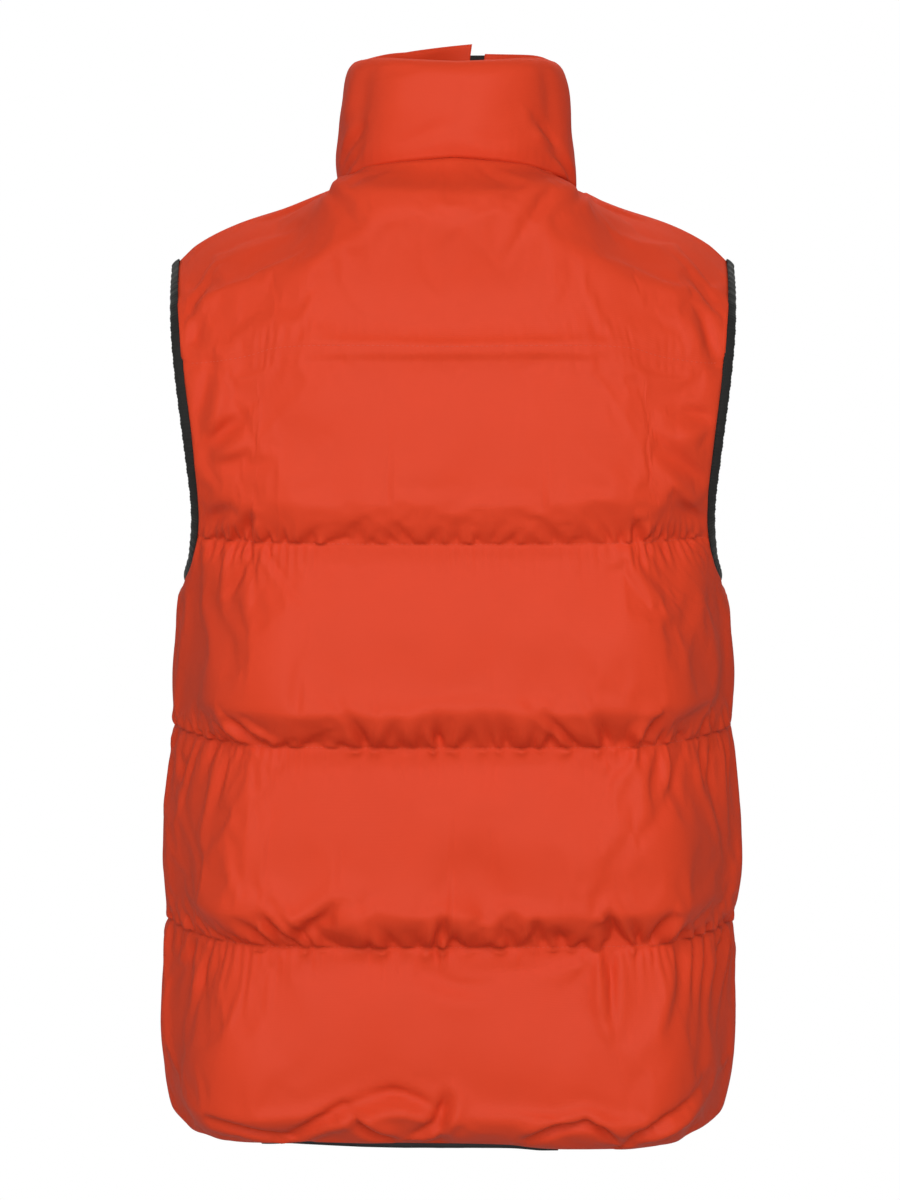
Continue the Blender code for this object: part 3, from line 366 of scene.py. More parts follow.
def zip_centre(height: Array | float) -> Array:
    """Where the zip's centre line lies sideways: straight on the front, leaning in the collar."""
    _, neck, top = NECKLINE.rows[-1]
    return COLLAR_ZIP_LEAN * np.maximum(0.0, (height - neck) / (top - neck))


def panel_rows() -> Array:
    """The construction's row values from hem to top.

    Returns:
        The rising row values.
    """
    values = {line + step for line in range(BAFFLE_COUNT) for step in ROW_STEPS}
    crowded = {v for v in values if UNDERARM_ROWS[0] < v + 0.03 and v < 3.0}
    return np.array(sorted((values - crowded) | set(UNDERARM_ROWS) | {TOP_ROW}))


@dataclass(frozen=True)
class PanelCut:
    """The cut of the back or of a front: where a point of its stitched level lies."""

    facing: Facing

    @property
    def sign(self) -> int:
        """1 for the back, -1 for the front."""
        return self.facing.value

    @property
    def sections(self) -> tuple[Section, ...]:
        """The panel's sections, from the hem up."""
        return BACK_SECTIONS if self.facing is Facing.BACK else FRONT_SECTIONS

    @property
    def centre_x(self) -> float:
        """Where the panel starts sideways."""
        return 0.0 if self.facing is Facing.BACK else FRONT_EDGE

    def armhole(self, height: Array) -> tuple[Array, Array]:
        """Sideways and lengthwise place of the armhole's edge at heights above the underarm.

        Args:
            height: Where to read.
        Returns:
            The places x and y.
        """
        bow = np.sqrt(np.maximum(0.0, 1 - ((height - ARMHOLE_MIDDLE) / ARMHOLE_HALF) ** 2))
        column = "back_x" if self.facing is Facing.BACK else "front_x"
        reach = ARMHOLE_DEPTHS[self.facing] * bow
        return ARMHOLE_X.read(column, height), self.sign * reach

    def torso(self, share: Array, row: Array) -> Array:
        """Points below the yoke line, by their share of the half section.

        Args:
            share: From the centre (0) over the corner to the armhole or side seam (1).
            row: From the hem (0) up to the yoke line (4).
        Returns:
            The points.
        """
        share, row = np.broadcast_arrays(share, row)
        height = row_height(row, share)
        centre = vectors(self.centre_x, self.sections.read("centre_y", height), height)
        corner = vectors(
            self.sections.read("corner_x", height), self.sections.read("corner_y", height), height
        )
        seam = vectors(self.sections.read("side_x", height), 0.0, height)
        flat, side = corner - centre, seam - corner
        flat_length = np.linalg.norm(flat, axis=-1, keepdims=True)
        side_length = np.linalg.norm(side, axis=-1, keepdims=True)
        turn = unit(unit(flat) + unit(side))
        t = np.clip(share / CORNER, 0, 1)
        level = flat_length * np.array((1.0, 0.0, 0.0))
        near = hermite(centre, level, corner, turn * flat_length * CORNER_EASE, t)
        leaving = turn * side_length * CORNER_EASE
        back_way = np.array((0.0, -self.sign, 0.0)) * SIDE_ROUNDNESS
        along = (back_way + unit(side) * SIDE_SLANT) * side_length
        edge_x, edge_y = self.armhole(height)
        low, high = np.zeros(share.shape), np.ones(share.shape)
        for _ in range(CUT_SEARCH_STEPS):
            middle = (low + high) / 2
            beyond = np.abs(hermite(corner, leaving, seam, along, middle)[..., 1]) < np.abs(edge_y)
            low, high = np.where(beyond, low, middle), np.where(beyond, middle, high)
        open_side = height > UNDERARM_HEIGHT
        low = np.where(open_side, low, 1.0)
        missed = vectors(edge_x, edge_y, height) - hermite(corner, leaving, seam, along, low)
        missed = missed * open_side[..., None]
        t = np.clip((share - CORNER) / (1 - CORNER), 0, 1)
        far = hermite(corner, leaving, seam, along, t * low) + missed * (t * t)[..., None]
        return np.where((share <= CORNER)[..., None], near, far)

    def top(self, share: Array) -> Array:
        """Points on the neckline or, further out, on the shoulder seam.

        Args:
            share: From the centre back or front (0) to the armhole (1).
        Returns:
            The points.
        """
        turn = 90.0 * np.clip(share / CORNER, 0, 1)
        neck = neckline(turn if self.facing is Facing.BACK else 180.0 - turn)
        neck[..., 0] = np.maximum(neck[..., 0], self.centre_x)
        reach = np.clip((share - CORNER) / (1 - CORNER), 0, 1)
        x = NECK_HALF_WIDTH + (SHOULDER_TIP.x - NECK_HALF_WIDTH) * reach
        shoulder = vectors(x, 0.0, SHOULDER_SEAM.read("height", x))
        return np.where((share <= CORNER)[..., None], neck, shoulder)

    def point(self, share: Array, row: Array) -> Array:
        """Points of the stitched level. Above the yoke line it bends over to the top edge.

        Args:
            share: From the centre (0) to the armhole or side seam (1).
            row: From the hem (0) to the top edge (5).
        Returns:
            The points, on the left of the wearer.
        """
        share, row = np.broadcast_arrays(np.asarray(share, float), np.asarray(row, float))
        below = self.torso(share, np.minimum(row, YOKE_LINE))
        high = self.top(share)
        column = "back_y" if self.facing is Facing.BACK else "front_y"
        control = vectors(
            (below[..., 0] + high[..., 0]) / 2 + YOKE_OUTWARD * share,
            YOKE_CONTROLS.read(column, share),
            high[..., 2] - YOKE_CONTROLS.read("drop", share),
        )
        t = np.clip(row - YOKE_LINE, 0, 1)[..., None]
        over = below * (1 - t) ** 2 + control * 2 * t * (1 - t) + high * t**2
        return np.where((row <= YOKE_LINE)[..., None], below, over)

    def edge_distance(self, point: Array) -> Array:
        """How far points lie from the armhole or from the side seam, whichever is nearer.

        Args:
            point: Points on either side.
        Returns:
            The distances.
        """
        depth = ARMHOLE_DEPTHS[self.facing]
        x, y, z = np.abs(point[..., 0]), point[..., 1], point[..., 2]
        ring = np.hypot(y / depth, (z - ARMHOLE_MIDDLE) / ARMHOLE_HALF) - 1
        seam_x = self.sections.read("side_x", z)
        edge_x = np.where(z <= UNDERARM_HEIGHT, seam_x, self.armhole(z)[0])
        edge_x = np.where(z >= SHOULDER_TIP.z, SHOULDER_TIP.x, edge_x)
        inward = np.maximum(0.0, edge_x - x)
        armhole = np.hypot(np.maximum(ring, 0.0) * (ARMHOLE_HALF + depth) / 2, inward)
        seam = np.hypot(y, np.maximum(0.0, z - UNDERARM_HEIGHT))
        return np.minimum(armhole, seam)


# ---- folds ----
# How uneven the folds of a run are, as shares of its pitch, reach and depth.
FOLD_STARTS, FOLD_STEPS = (0.2, 0.8), (0.55, 1.6)
FOLD_WIDTHS, FOLD_SIZES = (0.20, 0.42), (0.45, 1.25)
FOLD_LEAN, FOLD_BEND = 0.22, 6.0
FOLD_WINDOW = 0.045  # metres to each side within which a fold counts
FOLD_WIDENING = 14.0  # for each metre away from the line
FOLD_CLIMB = 3.2  # how early in its reach a fold is deepest
RIDGE_SHARE, RIDGE_OFFSET, RIDGE_WIDTH = 0.75, 1.7, 1.2  # the ridge beside each fold
CREASE_STEPS = 13
LIP_OFFSET, LIP_WIDTH = 1.7, 1.3  # in widths of the crease


@dataclass(frozen=True)
class PuckerRun:
    """A run of small folds that a line of stitching draws in.

    Places count along the line from the centre, positive towards the wearer's left. Above and
    below are how far the folds reach from the line, and lean is how far they drift sideways for
    each metre that they climb.
    """

    line: int
    start: float
    end: float
    pitch: float
    above: float
    below: float
    depth: float
    lean: float
    seed: int

    def height(self, along: Array, away: Array) -> Array:
        """What the run adds to the loft.

        Args:
            along: Place along the line of each column, in metres.
            away: Place above the line of each row, in metres, negative below it.
        Returns:
            The added height at each row and column, in metres.
        """
        draw = np.random.default_rng(self.seed)
        total = np.zeros((len(away), len(along)))
        place = self.start + self.pitch * draw.uniform(*FOLD_STARTS)
        distance = np.abs(away)[:, None]
        while place < self.end:
            width = self.pitch * draw.uniform(*FOLD_WIDTHS)
            reach = np.where(away > 0, self.above, self.below)[:, None] * draw.uniform(*FOLD_SIZES)
            depth = self.depth * draw.uniform(*FOLD_SIZES)
            lean, bend = self.lean + draw.normal(0, FOLD_LEAN), draw.normal(0, FOLD_BEND)
            near = np.abs(along - place) < FOLD_WINDOW
            drift = along[near] - place - lean * distance - bend * distance**2
            widened = width * (1 + FOLD_WIDENING * distance)
            beside = (drift - RIDGE_OFFSET * widened) / (RIDGE_WIDTH * widened)
            fold = RIDGE_SHARE * bell(beside) - bell(drift / widened)
            rise = FOLD_CLIMB * distance / np.maximum(reach, 1e-6)
            total[:, near] += depth * fold * swell(rise) * (reach > 1e-5)
            place += self.pitch * draw.uniform(*FOLD_STEPS)
        return total


@dataclass(frozen=True)
class Crease:
    """One listed fold, seen square from the back or the front, bent through its middle.

    Depth is negative for a trough and positive for a ridge. Lip is how much of that stands up
    again beside it, on the side that its sign picks.
    """

    start: tuple[float, float]
    middle: tuple[float, float]
    end: tuple[float, float]
    width: float
    depth: float
    lip: float = 0.0

    def height(self, x: Array, z: Array) -> Array:
        """What the crease adds to the loft.

        Args:
            x: Sideways place of each point, seen square on.
            z: Its height.
        Returns:
            The added height at each point, in metres.
        """
        total = np.zeros(x.shape)
        margin = 6 * self.width
        ends = np.array((self.start, self.middle, self.end))
        low, high = ends.min(0) - margin, ends.max(0) + margin
        near = (x > low[0]) & (x < high[0]) & (z > low[1]) & (z < high[1])
        if not near.any():
            return total
        here = np.stack((x[near], z[near]), axis=-1)
        steps = np.linspace(0, 1, CREASE_STEPS)[:, None]
        line = ends[0] * (1 - steps) ** 2 + ends[1] * 2 * steps * (1 - steps) + ends[2] * steps**2
        best = np.full(len(here), 1e9)
        signed, place = np.zeros(len(here)), np.zeros(len(here))
        for number, (a, b) in enumerate(zip(line, line[1:])):
            way = b - a
            t = np.clip(((here - a) @ way) / (way @ way), 0, 1)
            gap = here - a - t[:, None] * way
            distance = np.hypot(gap[:, 0], gap[:, 1])
            cross = way[0] * gap[:, 1] - way[1] * gap[:, 0]
            nearer = distance < best
            best = np.where(nearer, distance, best)
            signed = np.where(nearer, np.copysign(distance, cross), signed)
            place = np.where(nearer, (number + t) / (len(line) - 1), place)
        fade = np.sin(math.pi * (0.10 + 0.80 * place)) ** 0.8
        across = bell(signed / self.width)
        if self.lip:
            offset = math.copysign(LIP_OFFSET * self.width, self.lip)
            across -= abs(self.lip) * bell((signed - offset) / (LIP_WIDTH * self.width))
        total[near] = self.depth * fade * across
        return total


def pucker_runs(*rows: tuple[float, ...]) -> tuple[PuckerRun, ...]:
    """Runs of puckers from their fields in order, with the lengths in millimetres.

    Args:
        rows: The fields of each run.
    Returns:
        The runs.
    """
    return tuple(
        PuckerRun(line, *(length / 1000 for length in lengths), lean, seed)
        for line, *lengths, lean, seed in rows
    )


def hand_creases(*rows: tuple[float, ...]) -> tuple[Crease, ...]:
    """Creases from x and height of start, middle and end, width, depth, all in mm, and lip.

    Args:
        rows: The fields of each crease.
    Returns:
        The creases.
    """
    made = []
    for *lengths, lip in rows:
        x0, z0, x1, z1, x2, z2, width, depth = (length / 1000 for length in lengths)
        made.append(Crease((x0, z0), (x1, z1), (x2, z2), width, depth, lip))
    return tuple(made)


BACK_PUCKERS = pucker_runs(
    # the yoke line, close to the armholes
    (4, 100, 165, 16, 10, 8, 0.6, 0, 41),
    (4, -185, -95, 18, 10, 8, 0.7, 0, 42),
    # below the yoke: short puckers above, fans of folds below at both sides
    (3, -120, 120, 34, 56, 0, 2.8, 0, 36),
    (3, -125, 130, 12, 15, 0, 2.4, 0, 31),
    (3, 128, 205, 8.5, 10, 26, 2.6, -0.35, 32),
    (3, -205, -125, 9, 10, 24, 2.4, -0.35, 33),
    # the next line
    (2, -128, 128, 33, 62, 0, 3.4, 0, 26),
    (2, -128, 70, 13, 24, 4, 4.2, 0, 21),
    (2, 70, 135, 16, 14, 0, 2.8, 0, 22),
    (2, 140, 255, 12, 12, 38, 3.6, 0.3, 23),
    (2, -255, -132, 13.5, 14, 44, 4, 0.25, 24),
    # the lowest line
    (1, -140, 140, 35, 64, 0, 3.6, 0, 16),
    (1, -145, 75, 12, 26, 4, 4.4, 0, 11),
    (1, 75, 140, 13, 30, 3, 4.2, 0.55, 12),
    (1, 150, 260, 14, 12, 30, 3, 0.25, 13),
    (1, -260, -148, 12.5, 12, 42, 3.8, 0.25, 14),
    # the hem
    (0, -200, 200, 30, 34, 0, 2, 0, 1),
)
FRONT_PUCKERS = pucker_runs(
    (4, 90, 180, 17, 10, 8, 1.1, 0, 141),
    (3, 30, 118, 12, 13, 3, 1.4, 0, 131),
    (3, 120, 200, 9, 10, 24, 2.5, -0.3, 132),
    (2, 26, 125, 12.5, 24, 4, 2.9, 0, 121),
    (2, 130, 250, 12.5, 13, 40, 3.7, 0.27, 122),
    (1, 26, 135, 12, 26, 4, 3.1, 0.1, 111),
    (1, 140, 255, 13, 12, 37, 3.6, 0.25, 112),
    (0, 30, 200, 28, 32, 0, 2, 0, 101),
)
BACK_CREASES = hand_creases(
    # hem: the arch on the left and its dimples
    (108, -655, 85, -625, 40, -619, 5.5, -6.7, 0.5),
    (46, -618, 28, -616, 10, -628, 5, -5.8, 0.5),
    (66, -632, 58, -648, 41, -658, 4.5, -7.2, -0.6),
    (18, -648, 6, -640, 1, -620, 5, -7.2, 0.6),
    (0, -626, 4, -640, 5, -658, 4.5, -5.6, 0),
    # hem: the arc on the right and the diagonal beside it
    (-58, -656, -74, -640, -95, -638, 5, -7.2, -0.5),
    (-95, -638, -108, -640, -114, -656, 4.5, -6.7, -0.5),
    (-126, -660, -136, -642, -154, -630, 5.2, -7.7, 0.5),
    (150, -640, 138, -652, 120, -656, 6, -4.8, 0.3),
    # the creases that cross or meet the lowest line
    (-107, -503, -112, -530, -113, -566, 4.2, -9.3, 0.6),
    (74, -488, 92, -498, 106, -518, 7, -6.4, 0.5),
    (126, -488, 122, -504, 112, -520, 6, -5.8, -0.5),
    (3, -500, 6, -512, 4, -524, 4.5, -4.8, 0.4),
    (20, -540, -4, -552, -28, -548, 5, -2.6, 0.4),
    # armhole, left: folds that run in and up from the binding
    (185, -74, 181, -64, 175, -52, 4.5, -4.2, 0.5),
    (183, -90, 178, -78, 170, -66, 5, -4.8, 0.5),
    (182, -110, 178, -102, 173, -93, 5.5, -5.1, -0.4),
    (178, -163, 173, -143, 166, -122, 6, -6.7, 0.6),
    (176, -181, 166, -170, 145, -152, 7, -7, 0.6),
    (172, -188, 160, -182, 142, -180, 7, -4.2, -0.4),
    (169, -232, 160, -222, 150, -215, 5.5, -4.8, 0.5),
    # armhole, right
    (-182, -64, -176, -54, -166, -44, 4.5, -4.5, -0.5),
    (-183, -86, -177, -74, -166, -62, 5.5, -5.4, -0.5),
    (-184, -122, -178, -104, -166, -82, 6, -6.1, -0.5),
    (-180, -160, -170, -152, -155, -148, 6.5, -5.8, -0.5),
    (-176, -206, -160, -190, -142, -170, 8, -7, -0.6),
    (-170, -228, -158, -222, -150, -206, 6, -4.5, 0.4),
    # beside the collar
    (-56, 16, -70, 6, -90, -2, 4, -4, -0.6),
    (-76, -18, -84, -8, -92, 0, 4.2, -4.2, 0.6),
    (-66, -4, -56, -14, -48, -26, 6, -2.4, 0.4),
    (84, 14, 72, 10, 60, 10, 3.8, -3.2, 0.5),
    (86, -2, 78, -8, 70, -18, 4.4, -3.6, -0.5),
    # soft troughs that run from the collar towards the shoulders
    (52, -12, 100, -34, 158, -66, 13, -3, 0),
    (-50, -14, -96, -36, -152, -64, 13, -3.2, 0),
    # knots of cloth where the lines turn the corners
    (144, -363, 140, -372, 137, -382, 3.4, -5.2, 0.9),
    (136, -366, 131, -374, 124, -380, 3.4, 3.4, 0),
    (-124, -370, -128, -376, -129, -384, 3.4, 3.6, 0),
    (-134, -360, -133, -372, -130, -382, 3.6, -5.6, 0.8),
    (-145, -500, -143, -512, -141, -522, 3.6, -5.6, -0.8),
    (-110, -494, -113, -508, -116, -523, 3.6, -5, 0.7),
    (-127, -396, -136, -418, -131, -430, 5, 2, 0),
    (134, -220, 138, -230, 141, -240, 3.6, -5.2, -0.8),
    (141, -247, 141, -262, 149, -274, 3.8, -3.4, 0.6),
    (-123, -226, -125, -233, -126, -241, 3.4, -4.4, -0.8),
    (-128, -250, -134, -262, -144, -278, 4.4, -3, 0.6),
)
FRONT_CREASES = hand_creases(
    (60, -652, 78, -630, 112, -628, 5.5, -4.2, -0.5),
    (124, -656, 136, -640, 152, -632, 5.2, -4.4, -0.5),
    (40, -645, 34, -632, 26, -622, 5, -3.2, 0.5),
    (74, -488, 90, -500, 102, -516, 6.5, -4, 0.5),
    (178, -165, 170, -148, 160, -134, 6.2, -3.8, 0.5),
    (174, -186, 160, -178, 142, -164, 7, -4, 0.5),
    (180, -92, 172, -80, 162, -70, 5.2, -3, 0.5),
    (-50, -648, -74, -632, -100, -634, 5.5, -4.2, 0.5),
    (-118, -652, -134, -642, -150, -626, 5.5, -4, 0.5),
    (-80, -352, -94, -362, -104, -380, 7, -3.8, -0.5),
    (-176, -172, -164, -160, -146, -152, 6.8, -4, -0.5),
    (-180, -110, -172, -100, -160, -94, 5.6, -3, -0.4),
)


# ---- mesh helpers ----
def grid_quads(rows: int, columns: int, start: int = 0, flip: bool = False) -> Array:
    """Corner numbers of the quads of a grid, row by row.

    Args:
        rows: How many rows of points.
        columns: How many points in a row.
        start: Number of the first point.
        flip: Whether the quads turn the other way.
    Returns:
        Four numbers for each quad.
    """
    numbers = start + np.arange(rows * columns).reshape(rows, columns)
    quads = np.stack(
        (numbers[:-1, :-1], numbers[:-1, 1:], numbers[1:, 1:], numbers[1:, :-1]), axis=-1
    ).reshape(-1, 4)
    return quads[:, ::-1] if flip else quads


def join_runs(run: Sequence[int], other: Sequence[int], kept: Sequence[int], flip: bool) -> list:
    """Triangles between a run of vertices and a thinner one that keeps some of its places.

    Args:
        run: The full run's numbers.
        other: The thinner run's numbers.
        kept: Places of the full run that the thinner one keeps.
        flip: Whether the faces turn the other way.
    Returns:
        The faces.
    """
    faces, i, j = [], 0, 0
    while i < len(run) - 1 or j < len(other) - 1:
        if i < len(run) - 1 and (j == len(other) - 1 or i + 1 <= kept[j + 1]):
            face = (run[i], run[i + 1], other[j])
            i += 1
        else:
            face = (run[i], other[j + 1], other[j])
            j += 1
        faces.append(tuple(reversed(face)) if flip else face)
    return faces


def new_piece(name: str, points: Array, faces: Sequence, smooth: bool = True) -> bpy.types.Object:
    """Makes a mesh object at the origin from points and faces.

    Args:
        name: Name of the piece.
        points: Its points.
        faces: Its faces.
        smooth: Whether it is shaded smooth.
    Returns:
        The piece.
    """
    data = bpy.data.meshes.new(name)
    data.from_pydata([tuple(p) for p in points], [], [tuple(int(i) for i in f) for f in faces])
    data.validate()
    if smooth:
        data.shade_smooth()
    made = bpy.data.objects.new(name, data)
    bpy.context.scene.collection.objects.link(made)
    return made


def set_uv(made: bpy.types.Object, places: Array) -> None:
    """Gives a mesh a UV map in metres of cloth, one place for each vertex.

    Args:
        made: The piece.
        places: Across and up the cloth, one row for each vertex.
    """
    layer = made.data.uv_layers.new(name="cloth")
    corners = np.zeros(len(made.data.loops), np.int32)
    made.data.loops.foreach_get("vertex_index", corners)
    layer.data.foreach_set("uv", places[corners].astype(np.float32).ravel())


def cloth_places(along: Array, up: Array) -> Array:
    """UV places of a piece's vertices, from their places along the cloth and up it."""
    return np.stack(np.broadcast_arrays(along, up), axis=-1).reshape(-1, 2)


def set_mask(made: bpy.types.Object, name: str, values: Array) -> None:
    """Keeps one number for each vertex as a named attribute."""
    attribute = made.data.attributes.new(name, "FLOAT", "POINT")
    attribute.data.foreach_set("value", values.astype(np.float32).ravel())


def tube_faces(rings: int, around: int, closed: bool) -> list:
    """Faces of a row of equal closed loops, capped at its ends unless it is closed itself.

    Args:
        rings: How many loops.
        around: Points in a loop.
        closed: Whether the last loop meets the first.
    Returns:
        The faces.
    """
    faces = []
    for r in range(rings if closed else rings - 1):
        for i in range(around):
            j, s = (i + 1) % around, (r + 1) % rings
            faces.append((r * around + i, r * around + j, s * around + j, s * around + i))
    if not closed:
        faces.append(tuple(reversed(range(around))))
        faces.append(tuple((rings - 1) * around + i for i in range(around)))
    return faces


def wall_faces(rows: int, columns: int) -> list:
    """Faces of a thin closed wall: its front grid, its back grid, and the rim between them.

    Args:
        rows: Rows of each grid.
        columns: Points in a row.
    Returns:
        The faces.
    """
    count = rows * columns
    numbers = np.arange(2 * count).reshape(2, rows, columns)
    faces = [tuple(q) for q in grid_quads(rows, columns)]
    faces += [tuple(q) for q in grid_quads(rows, columns, start=count, flip=True)]
    for edge in (np.s_[:, 0, :], np.s_[:, -1, :], np.s_[:, :, 0], np.s_[:, :, -1]):
        near, far = numbers[edge]
        faces += list(zip(near[:-1], near[1:], far[1:], far[:-1]))
    return faces


def point_out(made: bpy.types.Object) -> None:
    """Turns all faces of a closed mesh outwards.

    Args:
        made: The piece.
    """
    mesh = bmesh.new()
    mesh.from_mesh(made.data)
    bmesh.ops.recalc_face_normals(mesh, faces=mesh.faces)
    mesh.to_mesh(made.data)
    mesh.free()


# ---- finishes ----
@dataclass
class Wiring:
    """A node tree while its nodes are added and joined."""

    tree: bpy.types.NodeTree

    def add(self, kind: str, inputs: dict | None = None, **settings) -> bpy.types.Node:
        """Adds a node.

        Args:
            kind: Its type, without the word ShaderNode.
            inputs: A value for each input, or the output that it is joined to.
            settings: Values of the node itself, which are set first.
        Returns:
            The node.
        """
        node = self.tree.nodes.new(f"ShaderNode{kind}")
        for name, value in settings.items():
            setattr(node, name, value)
        return self.feed(node, inputs or {})

    def feed(self, node: bpy.types.Node, inputs: dict) -> bpy.types.Node:
        """Sets a node's inputs to values or joins them to outputs, and returns the node.

        Args:
            node: The node.
            inputs: Values or outputs, by the name or number of the input.
        Returns:
            The node.
        """
        for name, value in inputs.items():
            if isinstance(value, bpy.types.NodeSocket):
                self.tree.links.new(value, node.inputs[name])
            else:
                node.inputs[name].default_value = value
        return node

    def math(self, operation: str, *inputs: float | bpy.types.NodeSocket) -> bpy.types.NodeSocket:
        """The result of an operation on values and outputs."""
        return self.add("Math", dict(enumerate(inputs)), operation=operation).outputs[0]

    def show_to_camera(self, shown: bpy.types.Node, lit: bpy.types.Node,
                       output: bpy.types.Node) -> None:
        """Lets the camera see one shader directly, and all other rays another.

        Args:
            shown: The shader that the camera sees.
            lit: The shader for all other rays.
            output: The node that takes the result.
        """
        ray = self.add("LightPath").outputs["Is Camera Ray"]
        mix = self.add("MixShader", {0: ray, 1: lit.outputs[0], 2: shown.outputs[0]})
        self.feed(output, {"Surface": mix.outputs[0]})


def new_group(name: str, inputs: dict[str, float],
              outputs: Sequence[str]) -> tuple[Wiring, bpy.types.Node, bpy.types.Node]:
    """Starts a shader node group whose sockets are all numbers.

    Args:
        name: The group's name.
        inputs: The inputs, and the value that each has at first.
        outputs: Names of the outputs.
    Returns:
        The wiring, and the nodes that stand for the inputs and for the outputs.
    """
    made = bpy.data.node_groups.new(name, "ShaderNodeTree")
    for key, value in inputs.items():
        socket = made.interface.new_socket(name=key, in_out="INPUT", socket_type="NodeSocketFloat")
        socket.default_value = value
    for key in outputs:
        made.interface.new_socket(name=key, in_out="OUTPUT", socket_type="NodeSocketFloat")
    return Wiring(made), made.nodes.new("NodeGroupInput"), made.nodes.new("NodeGroupOutput")


def woven_group() -> bpy.types.NodeTree:
    """A node group for close weaving: the height of its threads and how light each place is.

    Returns:
        The group, made on the first call.
    """
    found = bpy.data.node_groups.get("woven_cloth")
    if found:
        return found
    wiring, given, result = new_group(
        "woven_cloth", {"Thread": 0.0004, "Unevenness": 0.1}, ("Height", "Tone")
    )
    place = wiring.add("UVMap", uv_map="cloth").outputs[0]
    scale = wiring.math("DIVIDE", 1.0, given.outputs["Thread"])
    threads = [
        wiring.add(
            "TexWave",
            {"Vector": place, "Scale": wiring.math("MULTIPLY", scale, stretch),
             "Distortion": 0.6, "Detail": 0.0},
            bands_direction=direction, wave_profile="SIN",
        ).outputs["Fac"]
        for direction, stretch in (("X", 0.32), ("Y", 0.16))
    ]
    cloud = wiring.add("TexNoise", {"Vector": place, "Scale": 26.0, "Detail": 4.0})
    centred = wiring.math("SUBTRACT", cloud.outputs["Fac"], 0.5)
    wiring.feed(result, {
        "Height": wiring.math("ADD", *threads),
        "Tone": wiring.math("MULTIPLY_ADD", centred, given.outputs["Unevenness"], 1.0),
    })
    return wiring.tree


def crumple_group() -> bpy.types.NodeTree:
    """A node group for the small crumples of thin cloth: sharp little ridges of two sizes.

    Returns:
        The group, made on the first call.
    """
    found = bpy.data.node_groups.get("cloth_crumple")
    if found:
        return found
    wiring, given, result = new_group("cloth_crumple", {"Size": 60.0, "Stretch": 0.4}, ("Height",))
    place = wiring.add("UVMap", uv_map="cloth").outputs[0]
    squeeze = wiring.add("CombineXYZ", {"X": 1.0, "Y": given.outputs["Stretch"], "Z": 1.0})
    shaped = wiring.add("VectorMath", {0: place, 1: squeeze.outputs[0]}, operation="MULTIPLY")
    ridges = wiring.add(
        "TexNoise",
        {"Vector": shaped.outputs[0], "Scale": given.outputs["Size"], "Detail": 2.0,
         "Roughness": 0.45, "Distortion": 0.35},
        noise_type="RIDGED_MULTIFRACTAL",
    )
    wiring.feed(result, {"Height": ridges.outputs["Fac"]})
    return wiring.tree


@dataclass(frozen=True)
class Finish:
    """A finish: its name, its colour and a material that is built on first use."""

    name: str
    colour: Triple

    def material(self) -> bpy.types.Material:
        """Finds the material, or builds it.

        Returns:
            The material.
        """
        found = bpy.data.materials.get(self.name)
        if found:
            return found
        made = bpy.data.materials.new(self.name)
        made.use_nodes = True
        self.wire(Wiring(made.node_tree), made.node_tree.nodes["Principled BSDF"])
        return made

    def wire(self, wiring: Wiring, shader: bpy.types.Node) -> None:
        """Feeds the material's shader. Each kind of finish has its own way."""
        raise NotImplementedError


@dataclass(frozen=True)
class ClothFinish(Finish):
    """A woven cloth: its sheen, its thread, and the depth and size of its crumples."""

    roughness: float
    sheen: float
    sheen_tint: Triple
    specular: float
    thread: float
    weave_depth: float
    unevenness: float
    crumple: float
    crumple_size: float
    crumple_stretch: float = 0.4
    seam_mask: bool = False

    def wire(self, wiring: Wiring, shader: bpy.types.Node) -> None:
        """Weaves the cloth, and crumples it, more so near the seams with a seam mask.

        Args:
            wiring: The material's nodes.
            shader: The shader that takes the results.
        """
        woven = wiring.add(
            "Group", {"Thread": self.thread, "Unevenness": self.unevenness},
            node_tree=woven_group(),
        )
        tone = woven.outputs["Tone"]
        tinted = wiring.add(
            "Mix", {"Factor": 1.0, "A": (*self.colour, 1.0), "B": tone},
            data_type="RGBA", blend_type="MULTIPLY",
        )
        weave = wiring.add("Bump", {
            "Distance": self.weave_depth, "Strength": 0.6, "Height": woven.outputs["Height"],
        })
        crumpled = wiring.add(
            "Group", {"Size": self.crumple_size, "Stretch": self.crumple_stretch},
            node_tree=crumple_group(),
        )
        height = crumpled.outputs["Height"]
        if self.seam_mask:
            near = wiring.add("Attribute", attribute_name="near_seam")
            height = wiring.math("MULTIPLY", height, near.outputs["Fac"])
        folds = wiring.add("Bump", {
            "Distance": self.crumple, "Strength": 1.0, "Height": height,
            "Normal": weave.outputs["Normal"],
        })
        wiring.feed(shader, {
            "Base Color": tinted.outputs["Result"],
            "Roughness": wiring.math("MULTIPLY", tone, self.roughness),
            "Sheen Weight": self.sheen,
            "Sheen Roughness": 0.45,
            "Sheen Tint": (*self.sheen_tint, 1.0),
            "Specular IOR Level": self.specular,
            "Normal": folds.outputs["Normal"],
        })


